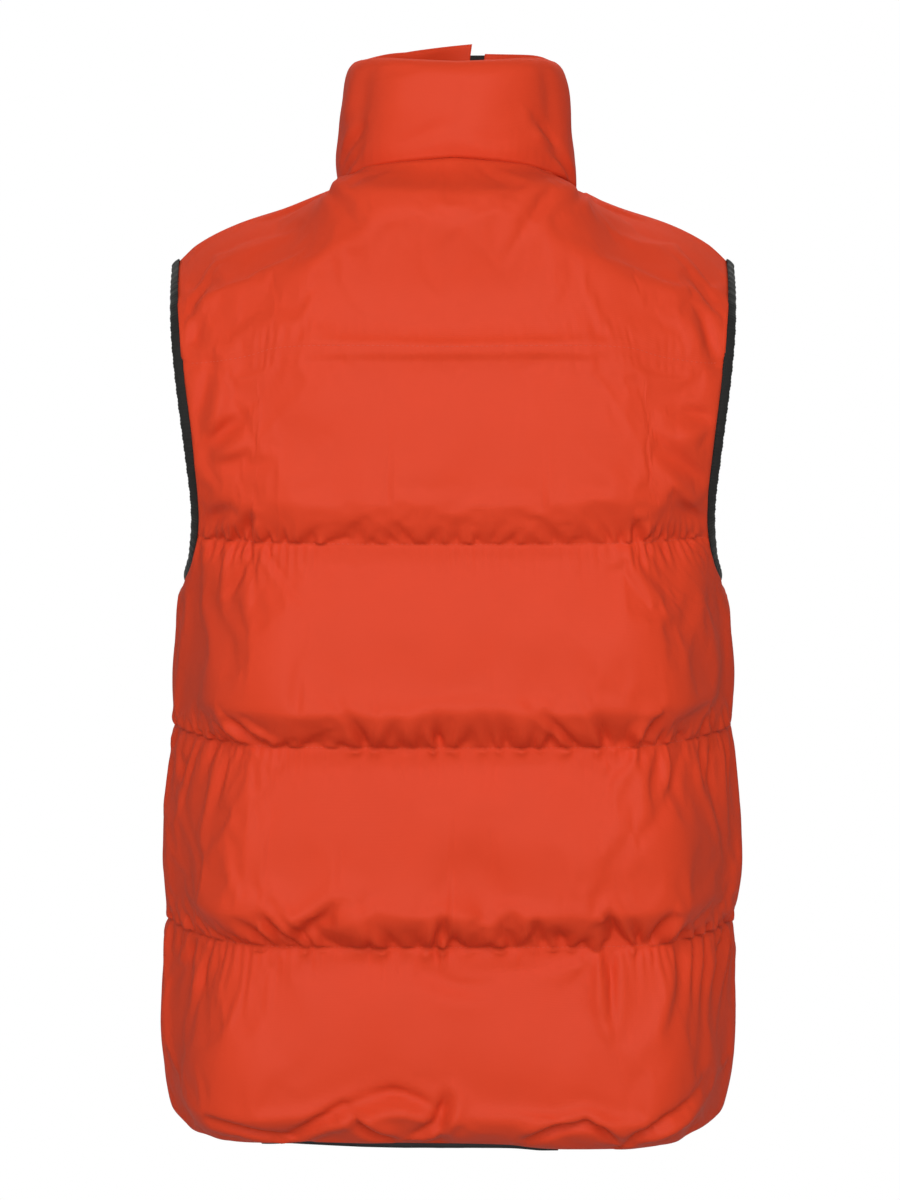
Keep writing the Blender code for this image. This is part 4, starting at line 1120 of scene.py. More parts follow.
@dataclass(frozen=True)
class HardFinish(Finish):
    """Moulded plastic or enamelled metal, with a fine grain in its gloss and colour."""

    roughness: float
    metallic: float
    grain: float

    def wire(self, wiring: Wiring, shader: bpy.types.Node) -> None:
        """Grains the gloss, the colour and the surface alike.

        Args:
            wiring: The material's nodes.
            shader: The shader that takes the results.
        """
        place = wiring.add("TexCoord").outputs["Object"]
        noise = wiring.add("TexNoise", {"Vector": place, "Scale": 900.0, "Detail": 3.0})
        grain = noise.outputs["Fac"]
        gloss = wiring.add("MapRange", {
            "Value": grain,
            "To Min": self.roughness * (1 - self.grain),
            "To Max": self.roughness * (1 + self.grain),
        })
        darker = tuple(channel * (1 - self.grain) for channel in self.colour)
        tint = wiring.add(
            "Mix", {"Factor": grain, "A": (*darker, 1.0), "B": (*self.colour, 1.0)},
            data_type="RGBA",
        )
        bump = wiring.add("Bump", {"Distance": 0.00002, "Height": grain})
        wiring.feed(shader, {
            "Base Color": tint.outputs["Result"],
            "Roughness": gloss.outputs["Result"],
            "Metallic": self.metallic,
            "Normal": bump.outputs["Normal"],
        })


SHELL = ClothFinish(
    "shell_cloth", (0.64, 0.050, 0.016), 0.52, 0.04, (1.0, 0.45, 0.30), 0.11,
    0.00045, 0.00004, 0.05, 0.0009, 55.0, 0.45, True,
)
LINING = ClothFinish(
    "lining_cloth", (0.012, 0.012, 0.013), 0.40, 0.25, (0.6, 0.6, 0.62), 0.4,
    0.0004, 0.00003, 0.10, 0.0010, 38.0,
)
BINDING = ClothFinish(
    "binding_tape", (0.011, 0.011, 0.010), 0.75, 0.30, (0.5, 0.5, 0.48), 0.25,
    0.0011, 0.00016, 0.16, 0.0003, 120.0,
)
ZIP_TAPE = ClothFinish(
    "zip_tape_cloth", (0.013, 0.013, 0.013), 0.72, 0.25, (0.5, 0.5, 0.5), 0.25,
    0.0009, 0.00012, 0.14, 0.0002, 120.0,
)
THREAD = ClothFinish(
    "shell_thread", (0.60, 0.060, 0.026), 0.55, 0.2, (1.0, 0.6, 0.5), 0.3,
    0.0002, 0.00002, 0.15, 0.0001, 200.0,
)
TEETH = HardFinish("zip_teeth_plastic", (0.016, 0.016, 0.016), 0.34, 0.0, 0.2)
ENAMEL = HardFinish("zip_enamel", (0.045, 0.045, 0.047), 0.30, 0.7, 0.2)
PULL = HardFinish("zip_pull_enamel", (0.020, 0.020, 0.021), 0.36, 0.4, 0.25)


def dress(made: bpy.types.Object, body: str, slot: str, *finishes: Finish) -> bpy.types.Object:
    """Gives a piece its finishes and its body.

    Args:
        made: The piece.
        body: The body that carries it.
        slot: Its material slot; not used.
        finishes: Its finishes, in the order of its material indices.
    Returns:
        The piece.
    """
    for finish in finishes:
        made.data.materials.append(finish.material())
    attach(made, body)
    LOG.info("%s: %d faces", made.name, len(made.data.polygons))
    return made


# ---- settling ----
@dataclass(frozen=True)
class Settling:
    """How Blender's cloth settles a filled shell between its pinned lines of stitching.

    The cloth is cut a little too large: by slack_at_lines next to the stitching, where that
    gathers it, and by slack_between in the middle of a baffle.
    """

    frames: int = 12
    quality: int = 5
    mass: float = 0.3
    tension: float = 15.0
    shear: float = 5.0
    bending: float = 0.05
    damping: float = 5.0
    pressure: float = 3.0
    weight: float = 0.010
    slack_at_lines: float = 0.060
    slack_between: float = -0.002
    slack_reach: float = 0.024
    cap: float = 0.007
    stride: int = 2

    def run(self, start: Array, pinned: Array, near: Array) -> Array:
        """How far each point of a grid moves while the cloth settles.

        Args:
            start: Points of the grid.
            pinned: Which points are held.
            near: How close each point is to a line of stitching, from 0 to 1.
        Returns:
            The way that each point moved, capped.
        """
        rows, columns = start.shape[:2]
        made = new_piece("settling_cloth", start.reshape(-1, 3), grid_quads(rows, columns))
        for name, values in (("pins", pinned.astype(float)), ("slack", near)):
            group = made.vertex_groups.new(name=name)
            levels = np.round(values.ravel() * 40).astype(int)
            for level in np.unique(levels):
                chosen = [int(i) for i in np.flatnonzero(levels == level)]
                group.add(chosen, float(level) / 40, "REPLACE")
        cloth = made.modifiers.new("cloth", "CLOTH")
        given = cloth.settings
        given.quality, given.mass = self.quality, self.mass
        given.tension_stiffness = given.compression_stiffness = self.tension
        given.shear_stiffness, given.bending_stiffness = self.shear, self.bending
        given.tension_damping = given.compression_damping = self.damping
        given.vertex_group_mass = "pins"
        given.use_pressure, given.uniform_pressure_force = True, self.pressure
        given.vertex_group_shrink = "slack"
        given.shrink_min, given.shrink_max = -self.slack_between, -self.slack_at_lines
        given.effector_weights.gravity = self.weight
        cloth.collision_settings.use_collision = False
        cloth.point_cache.frame_start, cloth.point_cache.frame_end = 1, self.frames
        scene = bpy.context.scene
        for number in range(1, self.frames + 1):
            scene.frame_set(number)
        settled = made.evaluated_get(bpy.context.evaluated_depsgraph_get()).data
        flat = np.zeros(rows * columns * 3, np.float32)
        settled.vertices.foreach_get("co", flat)
        scene.frame_set(1)
        bpy.data.objects.remove(made)
        moved = flat.reshape(start.shape).astype(float) - start
        far = np.linalg.norm(moved, axis=-1, keepdims=True)
        LOG.info("settled %d points, by %.1f mm at most", far.size, 1000 * far.max())
        return moved * (self.cap * np.tanh(far / self.cap) / np.maximum(far, 1e-9))


# ---- quilted panels ----
@dataclass
class QuiltedPanel:
    """One quilted panel: its cut, its hanging baffles, its puckers and its creases."""

    name: str
    node: str
    facing: Facing
    sides: tuple[Side, ...]
    puckers: tuple[PuckerRun, ...]
    creases: tuple[Crease, ...]
    seed: int
    lump: float = 0.0017
    small_lump: float = 0.0008
    stitch_pitch: float = 0.0066
    stitch_pucker: float = 0.0008
    stitch_reach: float = 0.0042
    settling: Settling = Settling()

    def __post_init__(self) -> None:
        """Works out the grid of the stitched level once."""
        self.cut = PanelCut(self.facing)
        self.rows = self.fine_rows()
        self.shares, self.signs = self.columns(FINE_FLAT, FINE_SIDE)
        self.grid = self.soften_underarm(self.soften_corner(self.stitched()))
        self.ways_out = unit(self.soften_underarm(self.soften_corner(self.normals())))
        self.arc = self.arcs()

    @staticmethod
    def fine_rows() -> Array:
        """Row values, closer together at the lines and just above the underarm.

        Returns:
            The rising row values.
        """
        steps = np.linspace(0, 1, FINE_ROWS, endpoint=False)
        steps = steps - ROW_CROWDING * np.sin(2 * math.pi * steps) / (2 * math.pi)
        rows = np.concatenate([line + steps for line in range(BAFFLE_COUNT)] + [[TOP_ROW]])
        foot = UNDERARM_ROW + np.array(FOOT_STEPS)
        clear = np.abs(rows[:, None] - foot).min(1) > 0.005
        return np.sort(np.concatenate((rows[clear], foot)))

    def columns(self, flat: int, side: int) -> tuple[Array, Array]:
        """Shares of the half panels across the piece, and the side that each is on.

        Args:
            flat: Columns of half a panel on the flat.
            side: Columns on the side.
        Returns:
            The shares, and 1 for the left or -1 for the right.
        """
        near = np.linspace(0, CORNER, flat, endpoint=False)
        half = np.concatenate((near, np.linspace(CORNER, 1, side + 1)))
        ones = np.ones(len(half))
        if len(self.sides) == 2:
            return np.concatenate((half[:0:-1], half)), np.concatenate((-ones[1:], ones))
        if self.sides[0] is Side.LEFT:
            return half, ones
        return half[::-1], -ones

    def raw_grid(self, rows: Array, shares: Array, signs: Array) -> Array:
        """Points of the stitched level before the yoke is evened out.

        Args:
            rows: Row values.
            shares: Shares across.
            signs: The side of each share.
        Returns:
            The points, by row and column.
        """
        grid = self.cut.point(shares[None, :], rows[:, None])
        grid[..., 0] *= signs
        if self.facing is Facing.BACK:
            fade = 1 - ease(rows / HEM_WAVE_FADE)
            grid[..., 2] -= fade[:, None] * HEM_WAVE.read("drop", grid[..., 0])
        return grid

    def stitched(self) -> Array:
        """The stitched level, with the yoke evened out as in the construction.

        Returns:
            The points, by row and column.
        """
        rows = panel_rows()
        shares, signs = self.columns(*COARSE_COLUMNS[self.facing])
        coarse = self.raw_grid(rows, shares, signs)
        evened = coarse.copy()
        first = int(np.searchsorted(rows, YOKE_LINE))
        for _ in range(YOKE_EVENING):
            ring = evened[first - 1:-2, 1:-1] + evened[first + 1:, 1:-1]
            ring = ring + evened[first:-1, :-2] + evened[first:-1, 2:]
            evened[first:-1, 1:-1] = evened[first:-1, 1:-1] * 0.5 + ring * 0.125
        moved = resample(rows[first - 1:], (evened - coarse)[first - 1:], self.rows)
        moved[self.rows <= rows[first - 1]] = 0.0
        across = resample(shares * signs, moved.swapaxes(0, 1), self.shares * self.signs)
        return self.raw_grid(self.rows, self.shares, self.signs) + across.swapaxes(0, 1)

    def soften_corner(self, grid: Array) -> Array:
        """Evens a grid out over the corner between the flat and the side, below its top edge.

        Args:
            grid: Points or ways, which are changed.
        Returns:
            The same grid.
        """
        across = bell((self.shares - CORNER) / CORNER_SPREAD)[1:-1]
        weight = 0.5 * across[None, :] * ease((TOP_ROW - self.rows) / CORNER_TOP_FADE)[:, None]
        for _ in range(CORNER_PASSES):
            off = (grid[:, :-2] + grid[:, 2:]) / 2 - grid[:, 1:-1]
            grid[:, 1:-1] += off * weight[..., None]
        return grid

    def soften_underarm(self, grid: Array) -> Array:
        """Evens a grid out over the level where the armhole starts, but not along its edge.

        Args:
            grid: Points or ways.
        Returns:
            The evened grid.
        """
        gap = self.rows[:, None] - self.rows[None, :]
        kernel = bell(gap / UNDERARM_BLUR) * np.gradient(self.rows)[None, :]
        kernel /= kernel.sum(1, keepdims=True)
        evened = np.einsum("rk,kcd->rcd", kernel, grid)
        weight = bell((self.rows - UNDERARM_ROW) / UNDERARM_SPREAD)[:, None]
        weight = weight * ease((1 - self.shares) / UNDERARM_EDGE)[None, :]
        return grid + (evened - grid) * weight[..., None]

    def on_seam(self) -> Array:
        """Which points lie on the side seams or the shoulder seams.

        Returns:
            True or false for each point.
        """
        low = row_height(np.minimum(self.rows, YOKE_LINE - 1e-6), np.ones(1)) <= UNDERARM_HEIGHT
        side = (self.shares == 1.0)[None, :] & low[:, None]
        return side | ((self.rows == TOP_ROW)[:, None] & (self.shares >= CORNER)[None, :])

    def normals(self) -> Array:
        """Outward ways: level with the ground up to the yoke line, and square on above it.

        Returns:
            The ways, by row and column.
        """
        step = 0.004
        left = self.cut.point(np.maximum(self.shares - step, 0)[None, :], self.rows[:, None])
        right = self.cut.point(np.minimum(self.shares + step, 1)[None, :], self.rows[:, None])
        across = right - left
        level = np.stack((across[..., 1], -across[..., 0], 0 * across[..., 0]), -1)
        level = level * -self.cut.sign
        level[..., 0] *= self.signs
        rise, run = np.gradient(self.grid, axis=0), np.gradient(self.grid, axis=1)
        square = np.cross(run, rise) * -self.cut.sign
        square = square * np.where(square[..., 2:] < 0, -1.0, 1.0)
        found = np.where((self.rows <= YOKE_LINE)[:, None, None], unit(level), unit(square))
        found[..., 1] = np.where(self.on_seam(), 0.0, found[..., 1])
        return unit(found)

    def arcs(self) -> Array:
        """Length along each row from the panel's centre, positive towards the wearer's left.

        Returns:
            The lengths, by row and column.
        """
        run = lengths_along(self.grid.swapaxes(0, 1)).T
        middle = int(np.argmin(self.shares))
        return run - run[:, middle:middle + 1]

    def line_row(self, line: int) -> int:
        """The number of the row that a line of stitching lies on."""
        return int(np.argmin(np.abs(self.rows - line)))

    def stitch_puckers(self) -> Array:
        """The short even puckers that the stitches themselves pull, at every line.

        Returns:
            Their heights, by row and column.
        """
        total = np.zeros(self.grid.shape[:2])
        for line in range(1, YOKE_LINE + 1):
            along = self.arc[self.line_row(line)]
            uneven = soft_noise(along, 0 * along, 0.020, self.seed + 60 + line)
            phase = 2 * math.pi * along / self.stitch_pitch + 1.6 * uneven
            strength = 0.75 + 0.35 * soft_noise(along, 0 * along, 0.034, self.seed + 70 + line)
            away = np.abs(self.rows - line) * BAFFLE_HEIGHT / self.stitch_reach
            reach = swell(away)
            if line == YOKE_LINE:
                reach = reach * YOKE_PUCKER * bell(away / 3)
            total += np.outer(reach, np.cos(phase) * strength) * self.stitch_pucker
        return total

    def baffle_numbers(self) -> Array:
        """The number of the baffle that each row is in."""
        return np.clip(self.rows.astype(int), 0, BAFFLE_COUNT - 1)

    def turned(self) -> Array:
        """How far each point is on the side of the body: 0 on the flat and 1 at the seam."""
        return ease((np.abs(self.grid[..., 0]) - SIDE_FROM_X) / (SIDE_TO_X - SIDE_FROM_X))

    def baffle_height(self, inside: Array, fact: dict[str, Array]) -> Array:
        """How far the filling holds the shell out.

        On the flat a baffle hangs: it is fullest low down, and turns under to its lower line. At
        the sides it is held out round.

        Args:
            inside: How far up its baffle each row is, from 0 to 1.
            fact: The columns of BAFFLES for each row.
        Returns:
            The height over the stitched level.
        """
        turned, crown = self.turned(), fact["crown"]
        floor = fact["floor_low"] + (fact["floor_high"] - fact["floor_low"]) * inside
        within = np.clip(inside, 1e-6, 1 - 1e-6)
        under = 1 - np.clip(1 - within / crown, 0, 1) ** UNDERSIDE_POWER
        slope = 1 - np.clip((within - crown) / (1 - crown), 0, 1) ** SLOPE_POWER
        hanging = np.minimum(under, slope)
        held_out = np.sin(math.pi * within) ** HELD_OUT_FULLNESS
        shape = (hanging + (held_out - hanging) * turned) * (inside > 0)
        height = (floor + fact["loft"] * shape) * (1 - (1 - SIDE_LOFT) * turned)
        body = np.sin(math.pi * within) ** 0.5 * np.clip(fact["loft"] / FULL_LOFT, 0.3, 1)
        up = self.grid[..., 2]
        height += body * self.lump * soft_noise(self.arc, up, LUMP_SIZE, self.seed)
        height += body * self.small_lump * soft_noise(self.arc, up, SMALL_LUMP_SIZE, self.seed + 1)
        return height

    def folds(self) -> Array:
        """What the puckers and the creases add to the height.

        Returns:
            The heights, by row and column.
        """
        total = self.stitch_puckers()
        for run in self.puckers:
            reach = np.abs(self.rows - run.line) < PUCKER_ROWS
            along = self.arc[self.line_row(run.line)]
            total[reach] += run.height(along, (self.rows[reach] - run.line) * BAFFLE_HEIGHT)
        for crease in self.creases:
            total += crease.height(self.grid[..., 0], self.grid[..., 2])
        return total

    def neck_padding(self) -> Array:
        """The padding that swells up to the collar, with a small step along the collar's foot.

        Returns:
            Its height, by row and column.
        """
        below = (TOP_ROW - self.rows)[:, None] * YOKE_HEIGHT
        fade = 1 - ease((below - NECK_BULGE_AT) / NECK_BULGE_FADE)
        out = (self.shares / CORNER)[None, :]
        middle = 1 - ease((out - NECK_BULGE_FROM) / (1 - NECK_BULGE_FROM))
        beside = 1 - ease((out - NECK_STEP_FROM) / NECK_STEP_FADE)
        bulge = NECK_BULGE * ease(below / NECK_BULGE_AT) ** 0.8 * middle
        return (bulge + NECK_STEP * beside * ease(below / NECK_STEP_REACH)) * fade

    def loft(self) -> Array:
        """How far the shell stands off the stitched level at every point.

        Returns:
            The heights, by row and column.
        """
        line = self.baffle_numbers()
        fact = {name: BAFFLES.column(name)[line][:, None] for name in BAFFLES.columns}
        height = self.baffle_height((self.rows - line)[:, None], fact)
        height = np.maximum(height + self.folds() + self.neck_padding(), 0.0)
        height = height * self.edge_ramp(self.cut.edge_distance(self.grid), EDGE_REACH)
        if self.facing is Facing.FRONT:
            height = height * self.edge_ramp(self.shares / CORNER * FRONT_FLAT_WIDTH, ZIP_REACH)
        return height + EDGE_FLOOR * (self.rows < TOP_ROW)[:, None]

    @staticmethod
    def edge_ramp(distance: Array, reach: float) -> Array:
        """How far the loft has come up at a distance from an edge: steep first, then level."""
        t = np.clip(distance / reach, 0, 1)
        return np.sqrt(1 - (1 - t) ** 2)

    def shell_points(self) -> Array:
        """The outer surface: lofted, and hanging a little under its own weight.

        Returns:
            The points, by row and column.
        """
        loft = self.loft()
        full = BAFFLES.column("loft") + BAFFLES.column("floor_low")
        hang = loft * (BAFFLES.column("sag") / full)[self.baffle_numbers()][:, None]
        points = self.grid + self.ways_out * loft[..., None]
        points[..., 2] -= hang
        return points

    def settle(self, shell: Array) -> Array:
        """Lets the cloth settle on a thinned grid, and moves the shell by what that gives.

        Args:
            shell: Points of the lofted cloth, by row and column.
        Returns:
            The settled points.
        """
        rows, columns = shell.shape[:2]
        lines = {self.line_row(line) for line in range(1, YOKE_LINE + 1)}
        stride = self.settling.stride
        kept_rows = self.spaced_rows(lines | {0, rows - 1})
        kept_columns = np.array(sorted(set(range(0, columns, stride)) | {columns - 1}))
        start = shell[np.ix_(kept_rows, kept_columns)]
        pinned = np.zeros(start.shape[:2], bool)
        pinned[(0, -1), :] = pinned[:, (0, -1)] = True
        pinned[np.isin(kept_rows, sorted(lines))] = True
        away = np.abs(self.rows - np.round(self.rows))[kept_rows] * BAFFLE_HEIGHT
        near = bell(away / self.settling.slack_reach)
        near *= 1 - (1 - YOKE_SLACK) * ease((self.rows[kept_rows] - YOKE_LINE + 0.5) / 0.5)
        beyond = ease((np.abs(start[..., 0]) - SLACK_FROM_X) / (SIDE_TO_X - SLACK_FROM_X))
        near = near[:, None] * (FLAT_SLACK + (1 - FLAT_SLACK) * beyond)
        moved = self.settling.run(start, pinned, near)
        moved = resample(self.rows[kept_rows], moved, self.rows)
        moved = resample(kept_columns.astype(float), moved.swapaxes(0, 1), np.arange(columns))
        return shell + moved.swapaxes(0, 1)

    def spaced_rows(self, needed: set[int]) -> Array:
        """Row numbers for the settling cloth: the needed ones, and others at an even spacing.

        Args:
            needed: Numbers that have to be among them.
        Returns:
            The rising numbers.
        """
        least = self.settling.stride * 0.55 / FINE_ROWS
        kept = sorted(needed)
        for number, row in enumerate(self.rows):
            if np.abs(self.rows[kept] - row).min() >= least * 1.2:
                kept.append(number)
        return np.array(sorted(kept))

    def kept_out(self, shell: Array) -> Array:
        """The shell, with what has sunk into the lining brought back out of it.

        Args:
            shell: Points of the settled cloth.
        Returns:
            The corrected points.
        """
        level = sway(self.grid)
        depth = ((shell - level) * self.ways_out).sum(-1)
        short = np.maximum(0.0, EDGE_FLOOR - depth)
        short[[0, -1]] = 0.0
        return shell + self.ways_out * short[..., None]

    def wall(self, kept_rows: list[int], kept_columns: list[int]) -> tuple[list, int]:
        """Faces of the closed wall: the shell, then the rim, then the thinner lining.

        Args:
            kept_rows: Rows of the shell that the lining keeps.
            kept_columns: Columns that it keeps.
        Returns:
            The faces, and the number of the lining's first one.
        """
        rows, columns = self.arc.shape
        outer = np.arange(rows * columns).reshape(rows, columns)
        inner = outer.size + np.arange(len(kept_rows) * len(kept_columns))
        inner = inner.reshape(len(kept_rows), -1)
        faces = [tuple(q) for q in grid_quads(rows, columns)]
        for edge, kept, flip in (
            (np.s_[0], kept_columns, True), (np.s_[:, -1], kept_rows, True),
            (np.s_[-1], kept_columns, False), (np.s_[:, 0], kept_rows, False),
        ):
            faces += join_runs(list(outer[edge]), list(inner[edge]), kept, flip)
        first = len(faces)
        faces += [tuple(q) for q in grid_quads(*inner.shape, start=outer.size, flip=True)]
        return faces, first

    def build(self) -> bpy.types.Object:
        """Makes the closed wall: the shell outside, the plain lining inside, and the rim.

        Returns:
            The dressed panel.
        """
        shell = sway(self.shell_points())
        shell = self.kept_out(self.settle(shell))
        kept_rows, kept_columns = (
            sorted(set(range(0, count, INSIDE_STRIDE)) | {count - 1}) for count in self.arc.shape
        )
        kept = np.ix_(kept_rows, kept_columns)
        inner = sway(self.grid - self.ways_out * WALL)[kept]
        faces, first = self.wall(kept_rows, kept_columns)
        points = np.concatenate((shell.reshape(-1, 3), inner.reshape(-1, 3)))
        made = new_piece(self.name, points, faces)
        slots = np.zeros(len(made.data.polygons), np.int32)
        slots[first:] = 1
        made.data.polygons.foreach_set("material_index", slots)
        up = (self.rows * BAFFLE_HEIGHT)[:, None]
        inner_places = cloth_places(self.arc[kept], up[kept_rows])
        set_uv(made, np.concatenate((cloth_places(self.arc, up), inner_places)))
        nearest = np.abs(self.rows - np.round(self.rows))[:, None] * BAFFLE_HEIGHT
        to_edge = self.cut.edge_distance(self.grid)
        near = 0.22 + 0.78 * bell(np.minimum(nearest, to_edge) / 0.020)
        set_mask(made, "near_seam", np.concatenate((near.ravel(), np.full(inner.size // 3, 0.2))))
        point_out(made)
        dress(made, "vest", "shell", SHELL, LINING)
        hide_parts(self.node)
        return made


# ---- collar ----
# How far the collar's outer and inner cloth stand off its middle, and how far it leans in, at
# shares of its height.
COLLAR_LEVELS = Table(("up", "outer", "inner", "lean"), (
    (0.000, 0.0030, 0.0014, 0.0),
    (0.060, 0.0040, 0.0034, 0.0),
    (0.170, 0.0052, 0.0056, 0.0),
    (0.380, 0.0056, 0.0070, 0.0006),
    (0.620, 0.0058, 0.0070, 0.0010),
    (0.800, 0.0060, 0.0064, 0.0014),
    (0.920, 0.0054, 0.0052, 0.0030),
    (0.980, 0.0036, 0.0034, 0.0056),
    (1.000, 0.0, 0.0, 0.0072),
))
COLLAR_CREASES = hand_creases(
    # along the collar as it lies flat: from the centre back, and up from its foot
    (68, 74, 74, 40, 72, 4, 11, -3.4, 0),
    (-70, 74, -78, 40, -76, 4, 11, -3.4, 0),
    (-60, 34, -78, 24, -100, 6, 5, -4, 0.6),
    (-66, 18, -82, 14, -104, 1, 3.6, -3.4, -0.6),
    (70, 30, 84, 24, 98, 16, 4.4, -2.8, 0.5),
    (72, 14, 84, 10, 98, 4, 3.6, -2.2, -0.5),
    (10, 22, 24, 14, 40, 12, 5, -1.2, 0.4),
    (-12, 16, -28, 12, -44, 16, 5, -1.1, 0.4),
    (-30, 66, -10, 61, 16, 64, 4.5, -1, 0.4),
    (24, 66, 44, 61, 64, 68, 4.5, -1.1, 0.4),
    (150, 60, 160, 40, 156, 18, 8, -1.8, 0.4),
    (-150, 64, -162, 44, -158, 20, 8, -1.8, -0.4),
    (186, 100, 196, 90, 214, 92, 5, -2.2, 0.4),
)


@dataclass
class PaddedCollar:
    """A padded stand collar of shell cloth inside and out, open at the zip."""

    foot: float = -0.0004
    foot_half: float = 0.0014
    top_narrowing: float = -0.003
    # rises of its top edge: how high, the turn where each starts, and its length in degrees
    left_rise: Triple = (0.0022, 95.0, 40.0)
    left_peak: Triple = (0.0052, 142.0, 38.0)
    front_rise: Triple = (0.0022, 100.0, 50.0)
    back_rise: Triple = (0.0036, 40.0, 45.0)
    beside_turn: float = 84.0
    beside_reach: float = 34.0
    foot_flares: tuple[float, float] = (0.0012, 0.0080)
    right_narrowing: float = 0.0035
    foot_drop: float = 0.0050
    zip_edge: float = 0.0052
    end_taper: float = 0.036
    quarter: float = 0.12
    back_lean: float = -0.003
    ripple: float = 0.0008
    lump: float = 0.0010
    pucker_pitch: float = 0.0072
    pucker: float = 0.00008
    stations: int = 150
    crowding: float = 1.08
    outer_levels: int = 46
    inner_levels: int = 30

    def turns(self) -> tuple[Array, Array]:
        """Turns from the centre back, and the side each is on, from the right end to the left.

        Returns:
            The turns, and 1 for the left or -1 for the right.
        """
        part = np.linspace(0, 1, self.stations + 1)
        turns = 180.0 * (1 - (1 - part) ** self.crowding)
        ones = np.ones(len(turns))
        return np.concatenate((turns[:0:-1], turns)), np.concatenate((-ones[1:], ones))

    def frame(self, turn: Array, sign: Array) -> tuple[Array, Array, Array]:
        """Foot, top and outward way of the collar at each turn.

        Args:
            turn: Degrees round the neckline from the centre back.
            sign: 1 on the left and -1 on the right.
        Returns:
            The feet, the tops and the ways out.
        """
        foot = neckline(turn, lift=self.foot, widen=-self.foot_half)
        top = neckline(turn, widen=self.top_narrowing)
        top[..., 2] = NECKLINE.read("collar_top", turn)
        left = sign > 0
        for (height, start, reach), share in (
            (self.front_rise, 1), (self.left_rise, left), (self.back_rise, -1)
        ):
            top[..., 2] += share * height * ease((turn - start) / reach)
        height, start, reach = self.left_peak
        top[..., 2] += self.back_rise[0] + left * height * np.clip((turn - start) / reach, 0, 1)
        beside = bell((turn - self.beside_turn) / self.beside_reach)
        foot[..., 0] += beside * np.where(left, *self.foot_flares)
        top[..., 0] -= beside * np.where(left, 0.0, self.right_narrowing)
        foot[..., 2] -= self.foot_drop * beside
        nearest = np.where(turn > 90.0, self.zip_edge, 0.0)
        for point in (foot, top):
            point[..., 0] = sign * np.maximum(point[..., 0], nearest)
        ahead = neckline(np.minimum(turn + 1, 180)) - neckline(np.maximum(turn - 1, 0))
        outward = unit(vectors(-ahead[..., 1], ahead[..., 0], 0))
        outward[..., 0] *= sign
        return foot, top, outward

    def detail(self, along: Array, high: Array, tall: Array, seed: int) -> Array:
        """Lumps, puckers at the neck seam and under the top edge, and creases.

        Args:
            along: Metres round the collar from the centre back.
            high: Share of the collar's height.
            tall: How tall the collar is there.
            seed: Picks the pattern.
        Returns:
            How far the cloth stands off its plain level.
        """
        rise = high * tall
        body = np.sin(math.pi * np.clip(high, 0, 1)) ** 0.5
        total = self.lump * body * soft_noise(along, rise, 0.045, seed)
        total += 0.5 * self.lump * body * soft_noise(along, rise, 0.020, seed + 1)
        uneven = soft_noise(along, 0 * along, 0.022, seed + 2)
        phase = 2 * math.pi * along / self.pucker_pitch + 1.7 * uneven
        strength = 0.7 + 0.5 * soft_noise(along, 0 * along, 0.03, seed + 3)
        total += self.pucker * strength * np.cos(phase) * swell(rise / 0.0055)
        wave = np.cos(phase * 0.83 + 1.0)
        total += 0.2 * self.pucker * strength * wave * swell((tall - rise) / 0.0075)
        return total

    def build(self) -> bpy.types.Object:
        """Makes the collar as one closed padded band.

        Returns:
            The dressed collar.
        """
        turn, sign = self.turns()
        foot, top, outward = self.frame(turn, sign)
        pinch = ease((180.0 - turn) / 90.0 * self.quarter / self.end_taper)[None, :, None]
        to_front = ease((turn - 90.0) / 90.0)[None, :]
        along = lengths_along(foot)
        along = (along - along[self.stations])[None, :]
        tall = np.linalg.norm(top - foot, axis=-1)[None, :]
        rows = []
        for count, column, side in (
            (self.outer_levels, "outer", 1), (self.inner_levels, "inner", -1)
        ):
            up = 1 - (1 - np.linspace(0, 1, count)) ** 1.35
            up = np.sin(up * math.pi / 2) * 0.35 + up * 0.65
            up = up[:, None]
            point = foot[None] + (top - foot)[None] * up[..., None]
            lean = self.back_lean * up
            point[..., 0] += lean + (zip_centre(point[..., 2]) - lean) * to_front
            padding = COLLAR_LEVELS.read(column, up) + self.ripple * up * (1 - up) * np.sin(
                np.radians(turn * 12.0) + sign
            )
            padding = padding + self.detail(along, up, tall, 500 + side)
            if side > 0:
                for crease in COLLAR_CREASES:
                    padding = padding + crease.height(
                        np.broadcast_to(along, padding.shape), up * tall
                    )
            padding = np.maximum(padding, 0.0) * (up < 1)
            thick = np.minimum(padding, self.foot_half)[..., None] * (1 - pinch)
            thick = thick + padding[..., None] * pinch
            leaning = COLLAR_LEVELS.read("lean", up)[..., None] * pinch
            rows.append(point + outward[None] * (side * thick - leaning))
        band = np.concatenate((rows[0], rows[1][-2::-1]))
        levels, columns = band.shape[:2]
        loops = sway(band.swapaxes(0, 1))
        made = new_piece("collar_pad", loops.reshape(-1, 3), tube_faces(columns, levels, False))
        run = lengths_along(loops[columns // 2])
        set_uv(made, cloth_places(along[0][:, None], run[None, :]))
        height = np.abs(loops[..., 2] - foot[:, None, 2])
        near = 0.20 + 0.30 * bell(height / 0.014)
        set_mask(made, "near_seam", near.ravel())
        point_out(made)
        dress(made, "vest", "shell", SHELL)
        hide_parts("collar")
        return made


